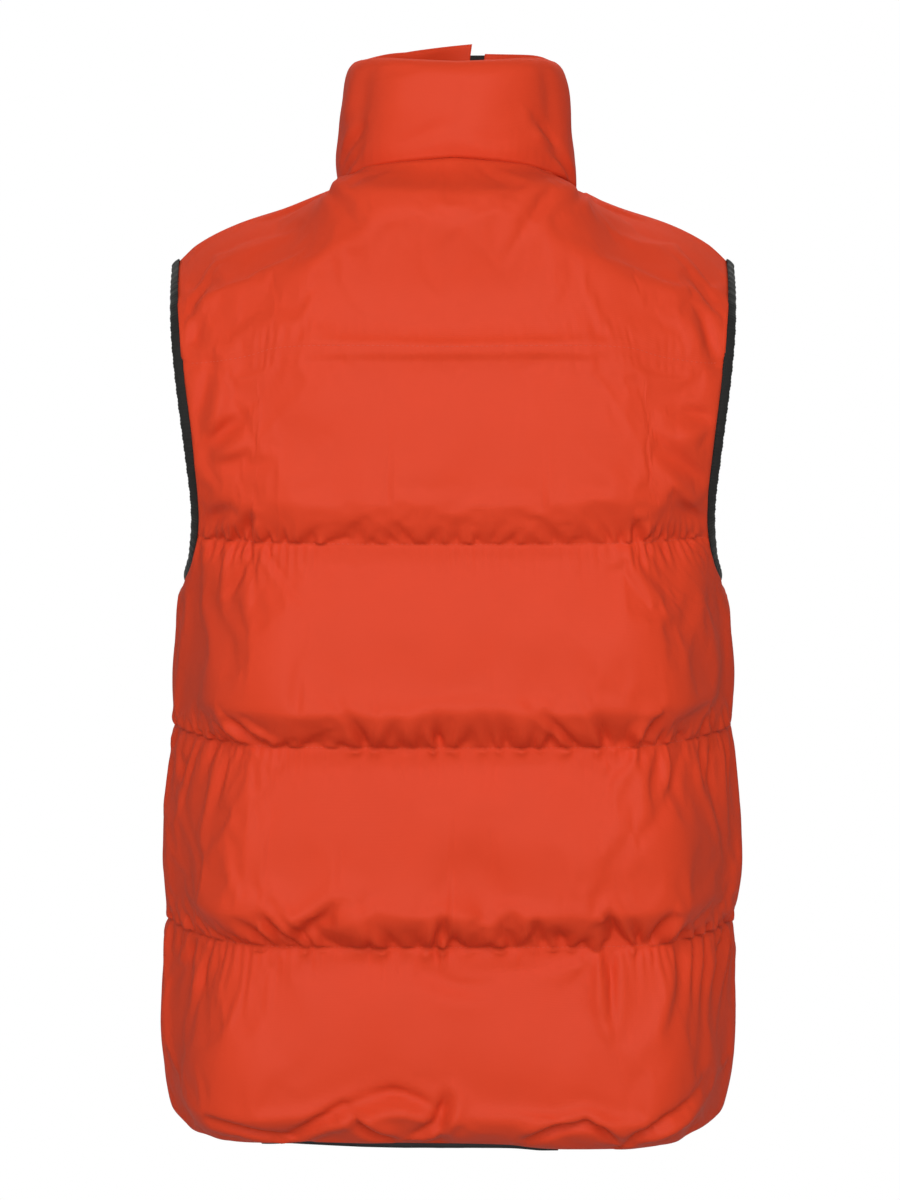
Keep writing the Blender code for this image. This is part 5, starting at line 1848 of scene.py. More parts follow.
# ---- armhole bindings ----
@dataclass
class ArmholeBinding:
    """A black tape folded over an armhole's edge, ribbed across and drawn in by its stitches."""

    side: Side
    width: float = 0.0084
    thickness: float = 0.0048
    clearance: float = -0.0013
    rib_pitch: float = 0.0027
    rib: float = 0.00030
    pull_pitch: float = 0.0098
    pull: float = 0.00035
    stations: int = 900
    cloth: float = 0.0009
    # the fold's outer face: across from the shell (-1) to the opening (1), and out of the cloth
    section: tuple[tuple[float, float], ...] = (
        (-1.0, 0.72), (-0.70, 0.90), (-0.35, 0.99), (0.0, 1.0), (0.35, 0.95), (0.68, 0.80),
        (0.90, 0.50), (1.0, 0.0), (0.90, -0.50), (0.68, -0.80), (0.35, -0.95), (0.0, -1.0),
        (-0.35, -0.99), (-0.70, -0.90), (-1.0, -0.72),
    )

    @staticmethod
    def station(cut: PanelCut, row: float) -> tuple[Array, Array, Array]:
        """A point of the armhole's edge, the way across into the opening, and the way out.

        Args:
            cut: The panel whose edge it is.
            row: The panel's row value there.
        Returns:
            The point and the two ways.
        """
        point, inner = cut.point(1.0, row), cut.point(0.97, row)
        outward = point - inner
        below, above = max(row - 0.01, UNDERARM_ROW), min(row + 0.01, TOP_ROW)
        along = unit(cut.point(1.0, above) - cut.point(1.0, below))
        if row <= YOKE_LINE:
            step = point - cut.point(0.996, row)
            normal = vectors(step[1], -step[0], 0.0) * -cut.sign
            if row_height(np.array(row), np.array(1.0)) <= UNDERARM_HEIGHT:
                normal[1] = 0.0
        else:
            normal = np.cross(outward, along)
        normal = unit(normal - along * (normal @ along))
        if normal[0] + normal[2] < 0:
            normal = -normal
        across = np.cross(normal, along)
        to_middle = unit(vectors(0.0, -point[1], ARMHOLE_MIDDLE - point[2]))
        if across @ (unit(outward) + to_middle) < 0:
            across = -across
        return point, across, normal

    def loop(self) -> tuple[Array, Array, Array]:
        """Fine stations round the armhole: points, ways across and ways out.

        Returns:
            Three arrays, one row for each station.
        """
        rows = [row for row in panel_rows() if row >= UNDERARM_ROW]
        found = [self.station(PanelCut(Facing.BACK), row) for row in rows]
        found += [self.station(PanelCut(Facing.FRONT), row) for row in reversed(rows[1:-1])]
        point, across, normal = (np.array(part) for part in zip(*found))
        across = unit(np.roll(across, 1, 0) + across + np.roll(across, -1, 0))
        normal = unit(np.roll(normal, 1, 0) + normal + np.roll(normal, -1, 0))
        lengths = np.linalg.norm(np.roll(point, -1, 0) - point, axis=-1)
        keys = np.concatenate(([0.0], np.cumsum(lengths)))
        lap = keys[-1]
        keys = np.concatenate((keys[-4:-1] - lap, keys, keys[1:4] + lap))
        at = np.linspace(0, lap, self.stations, endpoint=False)
        self.lap = lap
        wrapped = []
        for part in (point, across, normal):
            ring = np.concatenate((part[-3:], part, part[:4]))
            wrapped.append(resample(keys, ring, at))
        return wrapped[0], unit(wrapped[1]), unit(wrapped[2])

    def build(self) -> bpy.types.Object:
        """Makes the tape.

        Returns:
            The dressed tape.
        """
        point, across, normal = self.loop()
        half_width, half_thick = self.width / 2, self.thickness / 2
        middle = point + across * (half_width + self.clearance)
        at = np.linspace(0, self.lap, self.stations, endpoint=False)
        ribs = 2 * math.pi * at / (self.lap / round(self.lap / self.rib_pitch))
        pulls = 2 * math.pi * at / (self.lap / round(self.lap / self.pull_pitch))
        uneven = soft_noise(at, 0 * at, 0.03, 700 + self.side.value)
        rib = 1 - (self.rib / half_thick) * (0.5 + 0.5 * np.cos(ribs))
        pulled = 1 - (self.pull / half_thick) * (0.5 + 0.5 * np.cos(pulls + 1.5 * uneven))
        outer = np.array(self.section) * (half_width, half_thick)
        way = unit(np.gradient(outer, axis=0))
        inner = outer + np.stack((way[:, 1], -way[:, 0]), -1) * self.cloth
        section = np.concatenate((outer, inner[::-1]))
        size = (rib * pulled)[:, None]
        loops = (
            middle[:, None]
            + across[:, None] * (section[:, 0] * (0.35 + 0.65 * size))[..., None]
            + normal[:, None] * (section[:, 1] * size)[..., None]
        )
        loops[..., 0] *= self.side.value
        loops = sway(loops)
        name = f"armhole_binding_{self.side.name.lower()}"
        faces = tube_faces(self.stations, len(section), closed=True)
        made = new_piece(f"{name}_tape", loops.reshape(-1, 3), faces)
        run = lengths_along(loops[0])
        set_uv(made, cloth_places(run[None, :], at[:, None]))
        point_out(made)
        dress(made, "vest", "binding", BINDING)
        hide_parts(name)
        return made


# ---- hem lining ----
@dataclass
class HemLining:
    """The strip of black lining that hangs just below the back hem, inside the shell."""

    from_x: float = -0.068
    to_x: float = 0.120
    thickness: float = 0.0012
    shows: float = 0.0052
    tuck: float = 0.024
    clear: float = 0.0009
    columns: int = 140
    rows: int = 16
    ripple: float = 0.0004

    def build(self) -> bpy.types.Object:
        """Makes the strip as a thin closed wall, wavy along its lower edge.

        Returns:
            The dressed strip.
        """
        cut = PanelCut(Facing.BACK)
        part = np.linspace(0, 1, self.columns)
        x = self.from_x + (self.to_x - self.from_x) * part
        share = np.abs(x) / BACK_SECTIONS.column("corner_x")[0] * CORNER
        point = cut.point(share, 0.0)
        step = cut.point(share + 0.004, 0.0) - cut.point(np.maximum(share - 0.004, 0), 0.0)
        normal = unit(vectors(-step[..., 1], step[..., 0], 0.0))
        sign = np.where(x < 0, -1.0, 1.0)
        point[..., 0] *= sign
        normal[..., 0] *= sign
        point[..., 2] -= HEM_WAVE.read("drop", point[..., 0])
        shows = self.shows * np.sin(math.pi * (0.08 + 0.84 * part)) ** 0.5
        low = point - normal * (WALL + self.clear)
        up = np.linspace(0, 1, self.rows)[:, None]
        sheet = np.broadcast_to(low, (self.rows, self.columns, 3)).copy()
        sheet[..., 2] += (self.tuck + shows) * up - shows
        wave = soft_noise(x, 0 * x, 0.016, 810) * self.ripple * (1 - up) ** 2
        sheet = sheet - normal * (np.abs(wave))[..., None]
        back = sheet - normal * self.thickness
        points = sway(np.concatenate((sheet.reshape(-1, 3), back.reshape(-1, 3))))
        made = new_piece("hem_lining_strip", points, wall_faces(self.rows, self.columns))
        set_uv(made, np.tile(cloth_places(x[None, :], up * (self.tuck + self.shows)), (2, 1)))
        point_out(made)
        dress(made, "vest", "lining", LINING)
        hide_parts("hem_lining")
        return made


# ---- zip ----
@dataclass
class ZipLine:
    """Where the zip runs: up the front between the two panels, and leaning over in the collar."""

    head: float = 0.002
    foot: float = 0.004
    stations: int = 40
    collar_stations: int = 8
    collar_top_narrowing: float = -0.003
    slider_height: float = 0.0095
    slider_top_margin: float = 0.0090

    def __post_init__(self) -> None:
        """Works out points up the middle of the zip."""
        cut = PanelCut(Facing.FRONT)
        neck = cut.point(0.0, TOP_ROW)
        top = float(NECKLINE.read("collar_top", 180.0))
        foot, head = HEM_HEIGHT + self.foot, top - self.head
        low = np.linspace(foot, neck[2], self.stations, endpoint=False)
        high = np.linspace(neck[2], head, self.collar_stations + 1)
        heights = np.concatenate((low, high))
        rows = np.linspace(YOKE_LINE, TOP_ROW, 400)
        yoke = cut.point(0.0, rows)
        y = FRONT_SECTIONS.read("centre_y", heights)
        over = heights > QUILT_HEIGHTS[YOKE_LINE]
        y[over] = np.interp(heights[over], yoke[:, 2], yoke[:, 1])
        above = heights >= neck[2]
        lean = (heights[above] - neck[2]) / (top - neck[2])
        y[above] = neck[1] - self.collar_top_narrowing * lean
        self.points = vectors(zip_centre(heights), y, heights)
        self.slider_middle = head - self.slider_top_margin - self.slider_height / 2

    def at(self, height: Array | float) -> Array:
        """Points of the middle line at heights.

        Args:
            height: Where to read.
        Returns:
            The points.
        """
        keys = self.points[:, 2]
        height = np.asarray(height, float)
        x, y = (np.interp(height, keys, self.points[:, i]) for i in (0, 1))
        return sway(vectors(x, y, height))

    @property
    def low(self) -> float:
        """Height of the zip's lower end."""
        return float(self.points[0, 2])

    @property
    def high(self) -> float:
        """Height of the zip's upper end."""
        return float(self.points[-1, 2])


@dataclass
class ZipTape:
    """One woven tape, with a ribbed edge where the teeth are moulded on."""

    side: Side
    line: ZipLine
    inner: float = -0.0002
    outer: float = 0.0102
    set_back: float = 0.0009
    above: float = 0.0030
    thickness: float = 0.0011
    rib: float = 0.00010
    rib_pitch: float = 0.0011
    rows: int = 260
    columns: int = 13

    def build(self) -> bpy.types.Object:
        """Makes the tape as a thin closed strip.

        Returns:
            The dressed tape.
        """
        heights = np.linspace(self.line.low, self.line.high + self.above, self.rows)
        middle = self.line.at(heights) + vectors(0.0, self.set_back, 0.0)
        offset = np.linspace(self.inner, self.outer, self.columns)
        ribs = 2 * math.pi * (offset - self.inner) / self.rib_pitch
        rib = self.rib * (0.5 + 0.5 * np.cos(ribs))
        half = self.thickness / 2 - rib
        front = middle[:, None] + vectors(self.side.value * offset, -half, 0 * offset)[None]
        back = middle[:, None] + vectors(self.side.value * offset, half, 0 * offset)[None]
        points = np.concatenate((front.reshape(-1, 3), back.reshape(-1, 3)))
        name = f"zip_tape_{self.side.name.lower()}"
        made = new_piece(f"{name}_woven", points, wall_faces(self.rows, self.columns))
        set_uv(made, np.tile(cloth_places(offset[None], heights[:, None]), (2, 1)))
        point_out(made)
        dress(made, "vest", "zip_tape", ZIP_TAPE)
        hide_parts(name)
        return made


def select_only(piece: bpy.types.Object | None = None) -> None:
    """Leaves one piece selected, or none, so that the next operator acts on it alone.

    Args:
        piece: The piece, or None.
    """
    if bpy.context.object and bpy.context.object.mode != "OBJECT":
        bpy.ops.object.mode_set(mode="OBJECT")
    bpy.ops.object.select_all(action="DESELECT")
    if piece:
        piece.select_set(True)
        bpy.context.view_layer.objects.active = piece


class Part(Enum):
    """What is picked in edit mode."""

    POINT = "VERT"
    EDGE = "EDGE"


class Join(Enum):
    """What happens to a piece where a second one overlaps it."""

    ADD = "UNION"
    CUT = "DIFFERENCE"


Test = Callable[[Vector], bool]
NEAR = 1e-5  # metres within which two places count as one
ACROSS = (0, math.pi / 2, 0)  # the turn that lays a bar sideways
SMOOTH_ANGLE, BEVEL_ANGLE = math.radians(40), math.radians(35)


@dataclass
class Workpiece:
    """A hard piece that is shaped from a primitive with operators."""

    name: str

    def block(self, size: Sequence[float], place: Sequence[float]) -> Workpiece:
        """Starts from a block of a size at a place.

        Args:
            size: Its sides.
            place: Its middle.
        Returns:
            This piece.
        """
        select_only()
        bpy.ops.mesh.primitive_cube_add(size=1.0, location=tuple(place), scale=tuple(size))
        return self._named()

    def bar(self, radius: float, length: float, place: Sequence[float],
            sides: int = 24) -> Workpiece:
        """Starts from a round bar that lies sideways.

        Args:
            radius: Its radius.
            length: Its length.
            place: Its middle.
            sides: How many flats it has.
        Returns:
            This piece.
        """
        select_only()
        bpy.ops.mesh.primitive_cylinder_add(
            vertices=sides, radius=radius, depth=length, location=tuple(place), rotation=ACROSS
        )
        return self._named()

    def _named(self) -> Workpiece:
        """Takes hold of the new primitive and puts its place into its mesh.

        Returns:
            This piece.
        """
        self.piece = bpy.context.object
        self.piece.name = self.name
        bpy.ops.object.transform_apply(location=True, rotation=True, scale=True)
        return self

    def pick(self, test: Test, part: Part) -> None:
        """Goes into edit mode, with the points or edges whose middle passes a test selected.

        Args:
            test: Says yes or no to a middle.
            part: Whether points or edges are picked.
        """
        select_only(self.piece)
        bpy.ops.object.mode_set(mode="EDIT")
        bpy.ops.mesh.select_mode(type=part.value)
        bpy.ops.mesh.select_all(action="DESELECT")
        mesh = bmesh.from_edit_mesh(self.piece.data)
        for found in mesh.verts if part is Part.POINT else mesh.edges:
            ends = (found,) if part is Part.POINT else found.verts
            if test(sum((end.co for end in ends), Vector()) / len(ends)):
                found.select = True
        mesh.select_flush_mode()
        bmesh.update_edit_mesh(self.piece.data)

    def scale_picked(self, test: Test, size: Sequence[float], centre: Sequence[float]) -> Workpiece:
        """Scales the points that pass a test about a centre.

        Args:
            test: Says yes or no to a point.
            size: The scale along each axis.
            centre: What stays where it is.
        Returns:
            This piece.
        """
        self.pick(test, Part.POINT)
        bpy.ops.transform.resize(value=size, center_override=tuple(centre))
        bpy.ops.object.mode_set(mode="OBJECT")
        return self

    def bevel_picked(self, test: Test, width: float, segments: int) -> Workpiece:
        """Bevels the edges that pass a test.

        Args:
            test: Says yes or no to an edge's middle.
            width: Width of the bevel.
            segments: How many flats it has.
        Returns:
            This piece.
        """
        self.pick(test, Part.EDGE)
        bpy.ops.mesh.bevel(offset=width, segments=segments, profile=0.5, affect="EDGES")
        bpy.ops.object.mode_set(mode="OBJECT")
        return self

    def round_corners(self, place: Sequence[float], width: float, radius: float) -> Workpiece:
        """Rounds the four corners of a block of a width, seen from the front.

        Args:
            place: The block's middle.
            width: The block's width.
            radius: Radius of the corners.
        Returns:
            This piece.
        """
        x, y, _ = place
        return self.bevel_picked(
            lambda p: abs(abs(p.x - x) - width / 2) < NEAR and abs(p.y - y) < NEAR, radius, 6
        )

    def modify(self, kind: str, **values) -> Workpiece:
        """Adds a modifier with the given values and applies it.

        Args:
            kind: The kind of modifier.
            values: Its settings.
        Returns:
            This piece.
        """
        select_only(self.piece)
        modifier = self.piece.modifiers.new(kind.lower(), kind)
        for key, value in values.items():
            setattr(modifier, key, value)
        bpy.ops.object.modifier_apply(modifier=modifier.name)
        return self

    def combine(self, other: Workpiece, join: Join) -> Workpiece:
        """Joins or cuts with another piece, which is used up.

        Args:
            other: The piece that is used up.
            join: Whether it is added or cut out.
        Returns:
            This piece.
        """
        self.modify("BOOLEAN", operation=join.value, object=other.piece, solver="EXACT")
        bpy.data.objects.remove(other.piece)
        return self

    def finish(self, bevel: float, segments: int = 2) -> bpy.types.Object:
        """Rounds what is still sharp, and shades the piece by its angles.

        Args:
            bevel: Width of the rounding.
            segments: How many flats it has.
        Returns:
            The finished object.
        """
        self.modify("BEVEL", width=bevel, segments=segments, limit_method="ANGLE",
                    angle_limit=BEVEL_ANGLE, harden_normals=False)
        select_only(self.piece)
        bpy.ops.object.shade_smooth_by_angle(angle=SMOOTH_ANGLE)
        return self.piece


@dataclass
class ZipTeeth:
    """The closed chain: moulded teeth that reach past the middle in turn from both sides."""

    line: ZipLine
    pitch: float = 0.0032
    reach: float = 0.0009
    half_width: float = 0.0027
    thickness: float = 0.0024
    gap: float = 0.0003
    first: float = 0.0012
    fill: float = 0.52
    waist: Triple = (1, 0.92, 0.62)
    head: Triple = (1, 0.80, 1.0)
    root: Triple = (1, 1.0, 1.25)

    def tooth(self) -> tuple[Array, list]:
        """Models one tooth, its root towards +X and its head past the middle.

        Returns:
            Its points and its faces.
        """
        length = self.half_width + self.reach
        middle = (self.half_width - self.reach) / 2
        centre = (middle, 0, 0)
        size = (length, self.thickness, self.pitch * self.fill)
        work = Workpiece("zip_tooth").block(size, centre)
        work.modify("SUBSURF", subdivision_type="SIMPLE", levels=1, render_levels=1)
        root = self.half_width * 0.36 + length / 3
        work.scale_picked(lambda p: abs(p.x - middle) < NEAR, self.waist, centre)
        work.scale_picked(lambda p: p.x < middle - NEAR, self.head, centre)
        work.scale_picked(lambda p: p.x > root, self.root, centre)
        piece = work.finish(0.00022, 1)
        points = np.array([v.co[:] for v in piece.data.vertices])
        faces = [tuple(p.vertices) for p in piece.data.polygons]
        bpy.data.objects.remove(piece)
        return points, faces

    def heights(self) -> list[float]:
        """Where the teeth sit: closed below the slider, and parted in turn above it.

        Returns:
            The heights, from the hem up.
        """
        line, clear = self.line, self.line.slider_height / 2 + self.gap
        runs = ((line.low, line.slider_middle - clear), (line.slider_middle + clear, line.high))
        return [
            start + self.first + number * self.pitch / 2
            for start, end in runs
            for number in range(int((end - start) / self.pitch * 2) - 1)
        ]

    def build(self) -> bpy.types.Object:
        """Copies the tooth up both sides of the zip, as one mesh.

        Returns:
            The dressed teeth.
        """
        points, faces = self.tooth()
        all_points, all_faces = [], []
        for number, height in enumerate(self.heights()):
            here, above = self.line.at(height), self.line.at(height + 0.004)
            up = unit(above - here)
            side = unit(np.cross((0.0, 1.0, 0.0), up))
            out, sign = np.cross(up, side), 1 - 2 * (number % 2)
            all_points.append(
                here + points[:, :1] * side * sign + points[:, 1:2] * out + points[:, 2:] * up
            )
            start = number * len(points)
            all_faces += [tuple(start + i for i in face)[::sign] for face in faces]
        made = new_piece("zip_teeth", np.concatenate(all_points), all_faces, smooth=False)
        select_only(made)
        bpy.ops.object.shade_smooth_by_angle(angle=SMOOTH_ANGLE)
        point_out(made)
        dress(made, "vest", "zip_teeth", TEETH)
        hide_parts("zip_chain")
        return made


@dataclass
class ZipSlider:
    """The slider: two flared plates on a neck, and the two ears that hold the pull's pin."""

    line: ZipLine
    width: float = 0.0088
    plate: float = 0.0013
    neck_width: float = 0.0048
    neck_depth: float = 0.0034
    ear_width: float = 0.0012
    ear_reach: float = 0.0034
    ear_offset: float = 0.0030
    ear_height: float = 0.0030
    pin_radius: float = 0.0007
    pin_reach: float = 0.0024
    overlap: float = 0.0002

    @property
    def place(self) -> Array:
        """The slider's middle."""
        return self.line.at(self.line.slider_middle)

    @property
    def pin(self) -> Array:
        """The middle of the pin that the pull turns on."""
        deep = (self.neck_depth + self.plate) / 2
        return self.place + np.array((0, -deep - self.plate / 2 - self.pin_reach, 0))

    def flared_plate(self, name: str, offset: float) -> Workpiece:
        """One plate: wide at its shoulders and drawn in at its lower end.

        Args:
            name: Name of the piece.
            offset: How far it lies behind the middle.
        Returns:
            The plate.
        """
        x, y, z = self.place
        height = self.line.slider_height
        work = Workpiece(name).block((self.width, self.plate, height), (x, y + offset, z))
        work.scale_picked(lambda p: p.z < z, (0.80, 1, 1), (x, y + offset, z))
        work.bevel_picked(lambda p: abs(p.y - y - offset) < NEAR, 0.0016, 5)
        return work

    def build(self) -> bpy.types.Object:
        """Models the slider and dresses it.

        Returns:
            The dressed slider.
        """
        x, y, z = self.place
        height = self.line.slider_height
        deep = (self.neck_depth + self.plate) / 2
        work = self.flared_plate("zip_slider_body", -deep)
        neck = Workpiece("slider_neck").block(
            (self.neck_width, self.neck_depth + 2 * self.overlap, height - 0.0006), (x, y, z)
        )
        work.combine(neck, Join.ADD)
        work.combine(self.flared_plate("slider_rear", deep), Join.ADD)
        front = -deep - self.plate / 2
        ear_middle = front - self.ear_reach / 2 + self.overlap
        for side in (-1, 1):
            ear = Workpiece("slider_ear").block(
                (self.ear_width, self.ear_reach, self.ear_height),
                (x + side * self.ear_offset, y + ear_middle, z),
            )
            tip = y + ear_middle - self.ear_reach / 2
            ear.bevel_picked(
                lambda p, tip=tip: abs(p.y - tip) < NEAR and abs(p.z - z) > 10 * NEAR, 0.0011, 4
            )
            work.combine(ear, Join.ADD)
        pin = Workpiece("slider_pin").bar(self.pin_radius, 2 * self.ear_offset, self.pin)
        work.combine(pin, Join.ADD)
        piece = work.finish(0.00018, 2)
        dress(piece, "vest", "zip_metal", ENAMEL)
        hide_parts("zip_slider")
        return piece


@dataclass
class ZipPull:
    """The pull tab: a round boss on the pin, a neck and a blade with a slot."""

    slider: ZipSlider
    width: float = 0.0072
    length: float = 0.026
    thickness: float = 0.0018
    eye_radius: float = 0.0011
    boss_radius: float = 0.0020
    neck_width: float = 0.0040
    neck_length: float = 0.0080
    slot_width: float = 0.0036
    slot_length: float = 0.0090
    slot_drop: float = 0.0165
    cut_through: float = 0.02

    def build(self) -> bpy.types.Object:
        """Models the pull and lets it turn with its own body.

        Returns:
            The dressed pull tab.
        """
        x, y, z = pin = self.slider.pin
        work = Workpiece("zip_pull_tab").bar(self.boss_radius, self.neck_width, pin, sides=32)
        neck_middle = z - self.eye_radius - 0.0002 - self.neck_length / 2
        neck = Workpiece("pull_neck").block(
            (self.neck_width, self.thickness, self.neck_length), (x, y, neck_middle)
        )
        blade_length = self.length - self.neck_length
        blade = Workpiece("pull_blade").block(
            (self.width, self.thickness, blade_length), (x, y, z - self.length + blade_length / 2)
        )
        work.combine(neck, Join.ADD)
        work.combine(blade.round_corners(pin, self.width, 0.0024), Join.ADD)
        eye = Workpiece("pull_eye").bar(self.eye_radius, self.cut_through, pin)
        work.combine(eye, Join.CUT)
        slot = Workpiece("pull_slot").block(
            (self.slot_width, self.cut_through, self.slot_length), (x, y, z - self.slot_drop)
        )
        work.combine(slot.round_corners(pin, self.slot_width, 0.0016), Join.CUT)
        piece = work.finish(0.00022, 2)
        dress(piece, "zip_pull", "zip_pull", PULL)
        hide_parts("zip_pull")
        return piece


# ---- stitching ----
@dataclass
class Stitching:
    """Rows of lockstitches, each a short bead of thread sunk into the cloth."""

    name: str
    length: float = 0.0024
    pitch: float = 0.0034
    radius: float = 0.00030
    sink: float = 0.00010
    around: int = 6
    # the rings of a bead: how far along it from its middle, and how thick
    profile: tuple[tuple[float, float], ...] = (
        (-0.40, 0.62), (-0.16, 1.0), (0.16, 1.0), (0.40, 0.62),
    )

    def bead_faces(self) -> list:
        """Faces of one bead, from the point at its start over its rings to the point at its end.

        Returns:
            Numbers of each face's points, from 0.
        """
        around, rings = self.around, len(self.profile)
        faces = []
        for turn in range(around):
            after = (turn + 1) % around
            faces.append((0, 1 + after, 1 + turn))
            for a in range(1, 1 + (rings - 1) * around, around):
                faces.append((a + turn, a + after, a + around + after, a + around + turn))
            last = 1 + (rings - 1) * around
            faces.append((last + turn, last + after, 1 + rings * around))
        return faces

    def beads(self, path: Array, ways_out: Array) -> list[Array]:
        """Points of the beads along a path.

        Args:
            path: Points on the cloth.
            ways_out: The way out of the cloth at each of them.
        Returns:
            The points, bead after bead.
        """
        lengths = lengths_along(path)
        turns = 2 * math.pi * np.arange(self.around)[:, None] / self.around
        points = []
        for place in np.arange(self.pitch / 2, lengths[-1] - self.pitch / 2, self.pitch):
            start, end = (
                np.array([np.interp(place + side * self.length / 2, lengths, path[:, i])
                          for i in range(3)]) for side in (-1, 1)
            )
            out = unit(np.array([np.interp(place, lengths, ways_out[:, i]) for i in range(3)]))
            middle, along = (start + end) / 2 - out * self.sink, unit(end - start)
            out = unit(out - along * (out @ along))
            ring = out * np.cos(turns) + np.cross(along, out) * np.sin(turns)
            reach = along * float(np.linalg.norm(end - start))
            points.append(middle - reach / 2)
            for step, size in self.profile:
                points += list(middle + reach * step + ring * self.radius * size)
            points.append(middle + reach / 2)
        return points

    def build(self, paths: Sequence[tuple[Array, Array]], finish: ClothFinish,
              slot: str) -> bpy.types.Object:
        """Makes all the beads of several paths as one mesh.

        Args:
            paths: Points on the cloth and the ways out there, line by line.
            finish: Finish of the thread.
            slot: Its material slot.
        Returns:
            The dressed stitches.
        """
        points = np.array([point for path in paths for point in self.beads(*path)])
        bead = 2 + self.around * len(self.profile)
        faces = [tuple(start + i for i in face)
                 for start in range(0, len(points), bead) for face in self.bead_faces()]
        made = new_piece(self.name, points, faces)
        set_uv(made, points[:, ::2])
        point_out(made)
        return dress(made, "vest", slot, finish)


# ---- studio ----
@dataclass(frozen=True)
class SoftLight:
    """A soft square light that points from a place to an aim."""

    name: str
    place: Triple
    aim: Triple
    size: float
    power: float
    glossy: bool = False

    def build(self) -> None:
        """Adds the light. Only a glossy one shows in reflections."""
        data = bpy.data.lights.new(self.name, "AREA")
        data.shape, data.size, data.energy = "SQUARE", self.size, self.power
        made = bpy.data.objects.new(self.name, data)
        made.location = self.place
        made.visible_glossy = self.glossy
        way = Vector(self.aim) - Vector(self.place)
        made.rotation_euler = way.to_track_quat("-Z", "Y").to_euler()
        bpy.context.scene.collection.objects.link(made)


LIGHTS = (
    SoftLight("side_left", (3.0, 0.6, 0.2), (0, 0, -0.3), 1.8, 11.0),
    SoftLight("side_right", (-3.0, 0.6, 0.2), (0, 0, -0.3), 1.8, 11.0),
    SoftLight("key_back", (0.1, 3.0, 0.70), (0, 0.05, -0.3), 2.6, 96.0, glossy=True),
    SoftLight("key_front", (-0.1, -2.3, 1.9), (0, -0.05, -0.3), 1.8, 90.0),
)


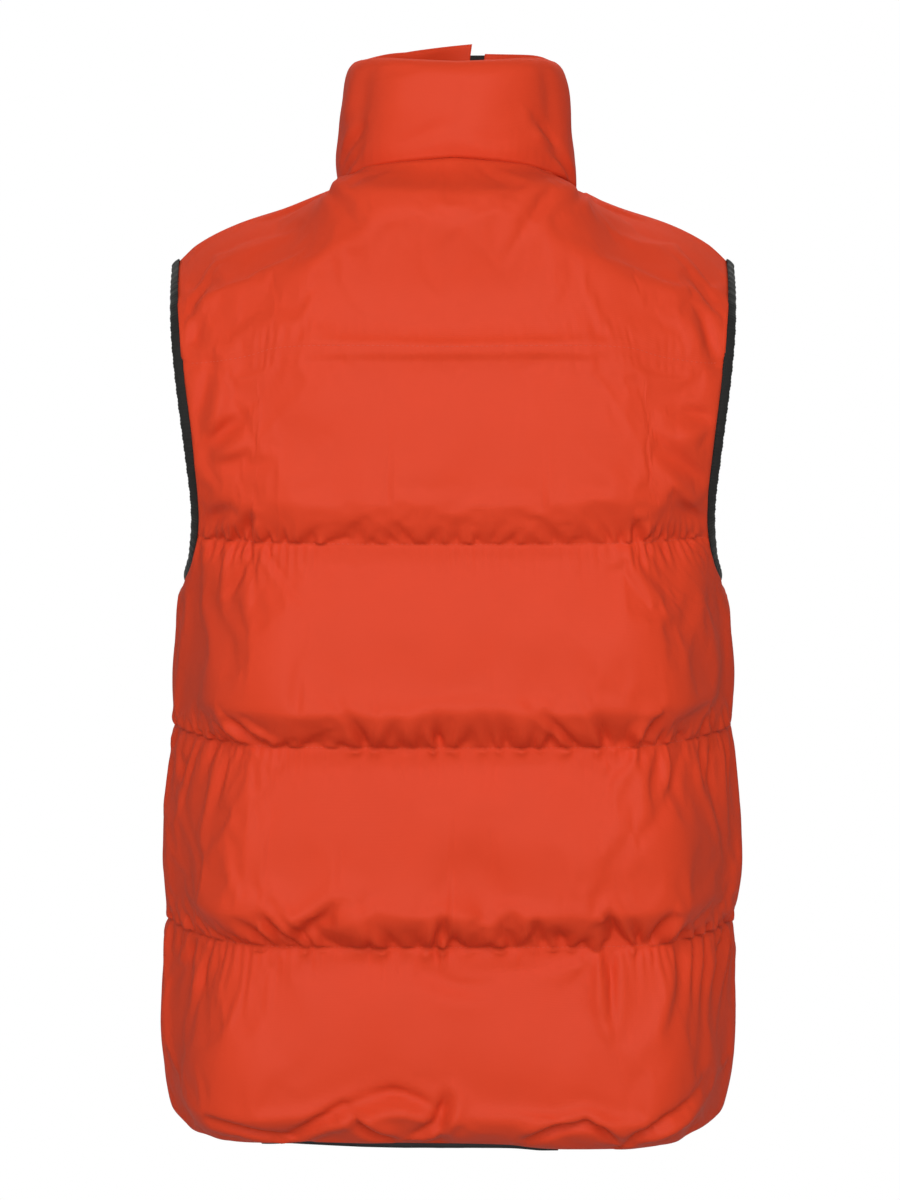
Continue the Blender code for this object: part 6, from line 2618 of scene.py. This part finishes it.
@dataclass
class Studio:
    """A pale floor, soft light from above, and the photograph's camera."""

    distance: float = 2.6
    metres_a_pixel: float = 0.00072
    image_height: int = 1200
    camera_x: float = 0.00216
    camera_z: float = 0.006
    aim_row: int = 600
    origin_row: int = 180
    floor_height: float = -1.35
    floor_half: float = 9.0
    fill: float = 0.24

    def camera(self) -> None:
        """Adds the camera, level with the neck and turned down to the middle of the vest."""
        data = bpy.data.cameras.new("photo_camera")
        data.sensor_width = 36.0
        data.lens = self.distance / self.metres_a_pixel / self.image_height * data.sensor_width
        data.clip_start, data.clip_end = 0.05, 60.0
        made = bpy.data.objects.new("photo_camera", data)
        drop = (self.aim_row - self.origin_row) * self.metres_a_pixel
        made.location = (self.camera_x, self.distance, self.camera_z)
        made.rotation_euler = (math.pi / 2 - math.atan(drop / self.distance), 0, math.pi)
        bpy.context.scene.collection.objects.link(made)
        bpy.context.scene.camera = made

    def floor(self) -> None:
        """Adds the floor, which looks as white as the surround."""
        select_only()
        bpy.ops.mesh.primitive_plane_add(
            size=2 * self.floor_half, location=(0, 0, self.floor_height)
        )
        made = bpy.context.object
        made.name = "studio_floor"
        material = bpy.data.materials.new("pale_floor")
        material.use_nodes = True
        wiring, nodes = Wiring(material.node_tree), material.node_tree.nodes
        place = wiring.add("TexCoord").outputs["Object"]
        noise = wiring.add("TexNoise", {"Vector": place, "Scale": 3.0})
        tone = wiring.add("Mix", {
            "Factor": noise.outputs["Fac"], "A": (0.34, 0.34, 0.34, 1), "B": (0.38, 0.38, 0.38, 1),
        }, data_type="RGBA")
        lit = wiring.feed(nodes["Principled BSDF"], {
            "Base Color": tone.outputs["Result"], "Roughness": 0.9,
        })
        wiring.show_to_camera(wiring.add("Emission"), lit, nodes["Material Output"])
        made.data.materials.append(material)

    def world(self) -> None:
        """A white surround that looks white and gives a softer fill than it shows."""
        world = bpy.data.worlds.new("studio")
        bpy.context.scene.world = world
        world.use_nodes = True
        world.node_tree.nodes.clear()
        wiring = Wiring(world.node_tree)
        lit, shown = (
            wiring.add("Background", {"Color": (1, 1, 1, 1), "Strength": strength})
            for strength in (self.fill, 1.0)
        )
        wiring.show_to_camera(shown, lit, wiring.add("OutputWorld"))

    def build(self) -> None:
        """Sets the whole studio up."""
        self.camera()
        self.floor()
        self.world()
        for light in LIGHTS:
            light.build()
        view = bpy.context.scene.view_settings
        view.view_transform = "Standard"
        view.look = "None"


def mirrored(run: PuckerRun) -> PuckerRun:
    """The same kind of run on the other side, with folds of its own."""
    return replace(run, start=-run.end, end=-run.start, lean=-run.lean, seed=run.seed + 50)


def quilt_paths(panel: QuiltedPanel) -> list[tuple[Array, Array]]:
    """The lines of stitching of a panel, just on the shell, with the ways out there.

    Args:
        panel: The panel.
    Returns:
        Points and ways out, line by line.
    """
    shell = sway(panel.shell_points())
    found = []
    for line in range(1, YOKE_LINE + 1):
        row = panel.line_row(line)
        inside = slice(3, -3)
        found.append((shell[row][inside], panel.ways_out[row][inside]))
    return found


def main() -> None:
    """Builds every piece of the vest and the studio round it."""
    logging.basicConfig(level=logging.INFO, format="%(name)s %(message)s")
    both = (Side.RIGHT, Side.LEFT)
    panels = [
        QuiltedPanel("back_quilt", "back", Facing.BACK, both, BACK_PUCKERS, BACK_CREASES, 11),
        QuiltedPanel("front_left_quilt", "front_left", Facing.FRONT, (Side.LEFT,),
                     FRONT_PUCKERS, FRONT_CREASES, 21),
        QuiltedPanel("front_right_quilt", "front_right", Facing.FRONT, (Side.RIGHT,),
                     tuple(mirrored(run) for run in FRONT_PUCKERS), FRONT_CREASES, 31),
    ]
    for panel in panels:
        panel.build()
    PaddedCollar().build()
    for side in Side:
        ArmholeBinding(side).build()
    HemLining().build()
    line = ZipLine()
    for side in Side:
        ZipTape(side, line).build()
    ZipTeeth(line).build()
    slider = ZipSlider(line)
    slider.build()
    ZipPull(slider).build()
    paths = [path for panel in panels for path in quilt_paths(panel)]
    Stitching("quilt_stitches").build(paths, THREAD, "shell")
    Studio().build()


if __name__ == "__main__":
    main()
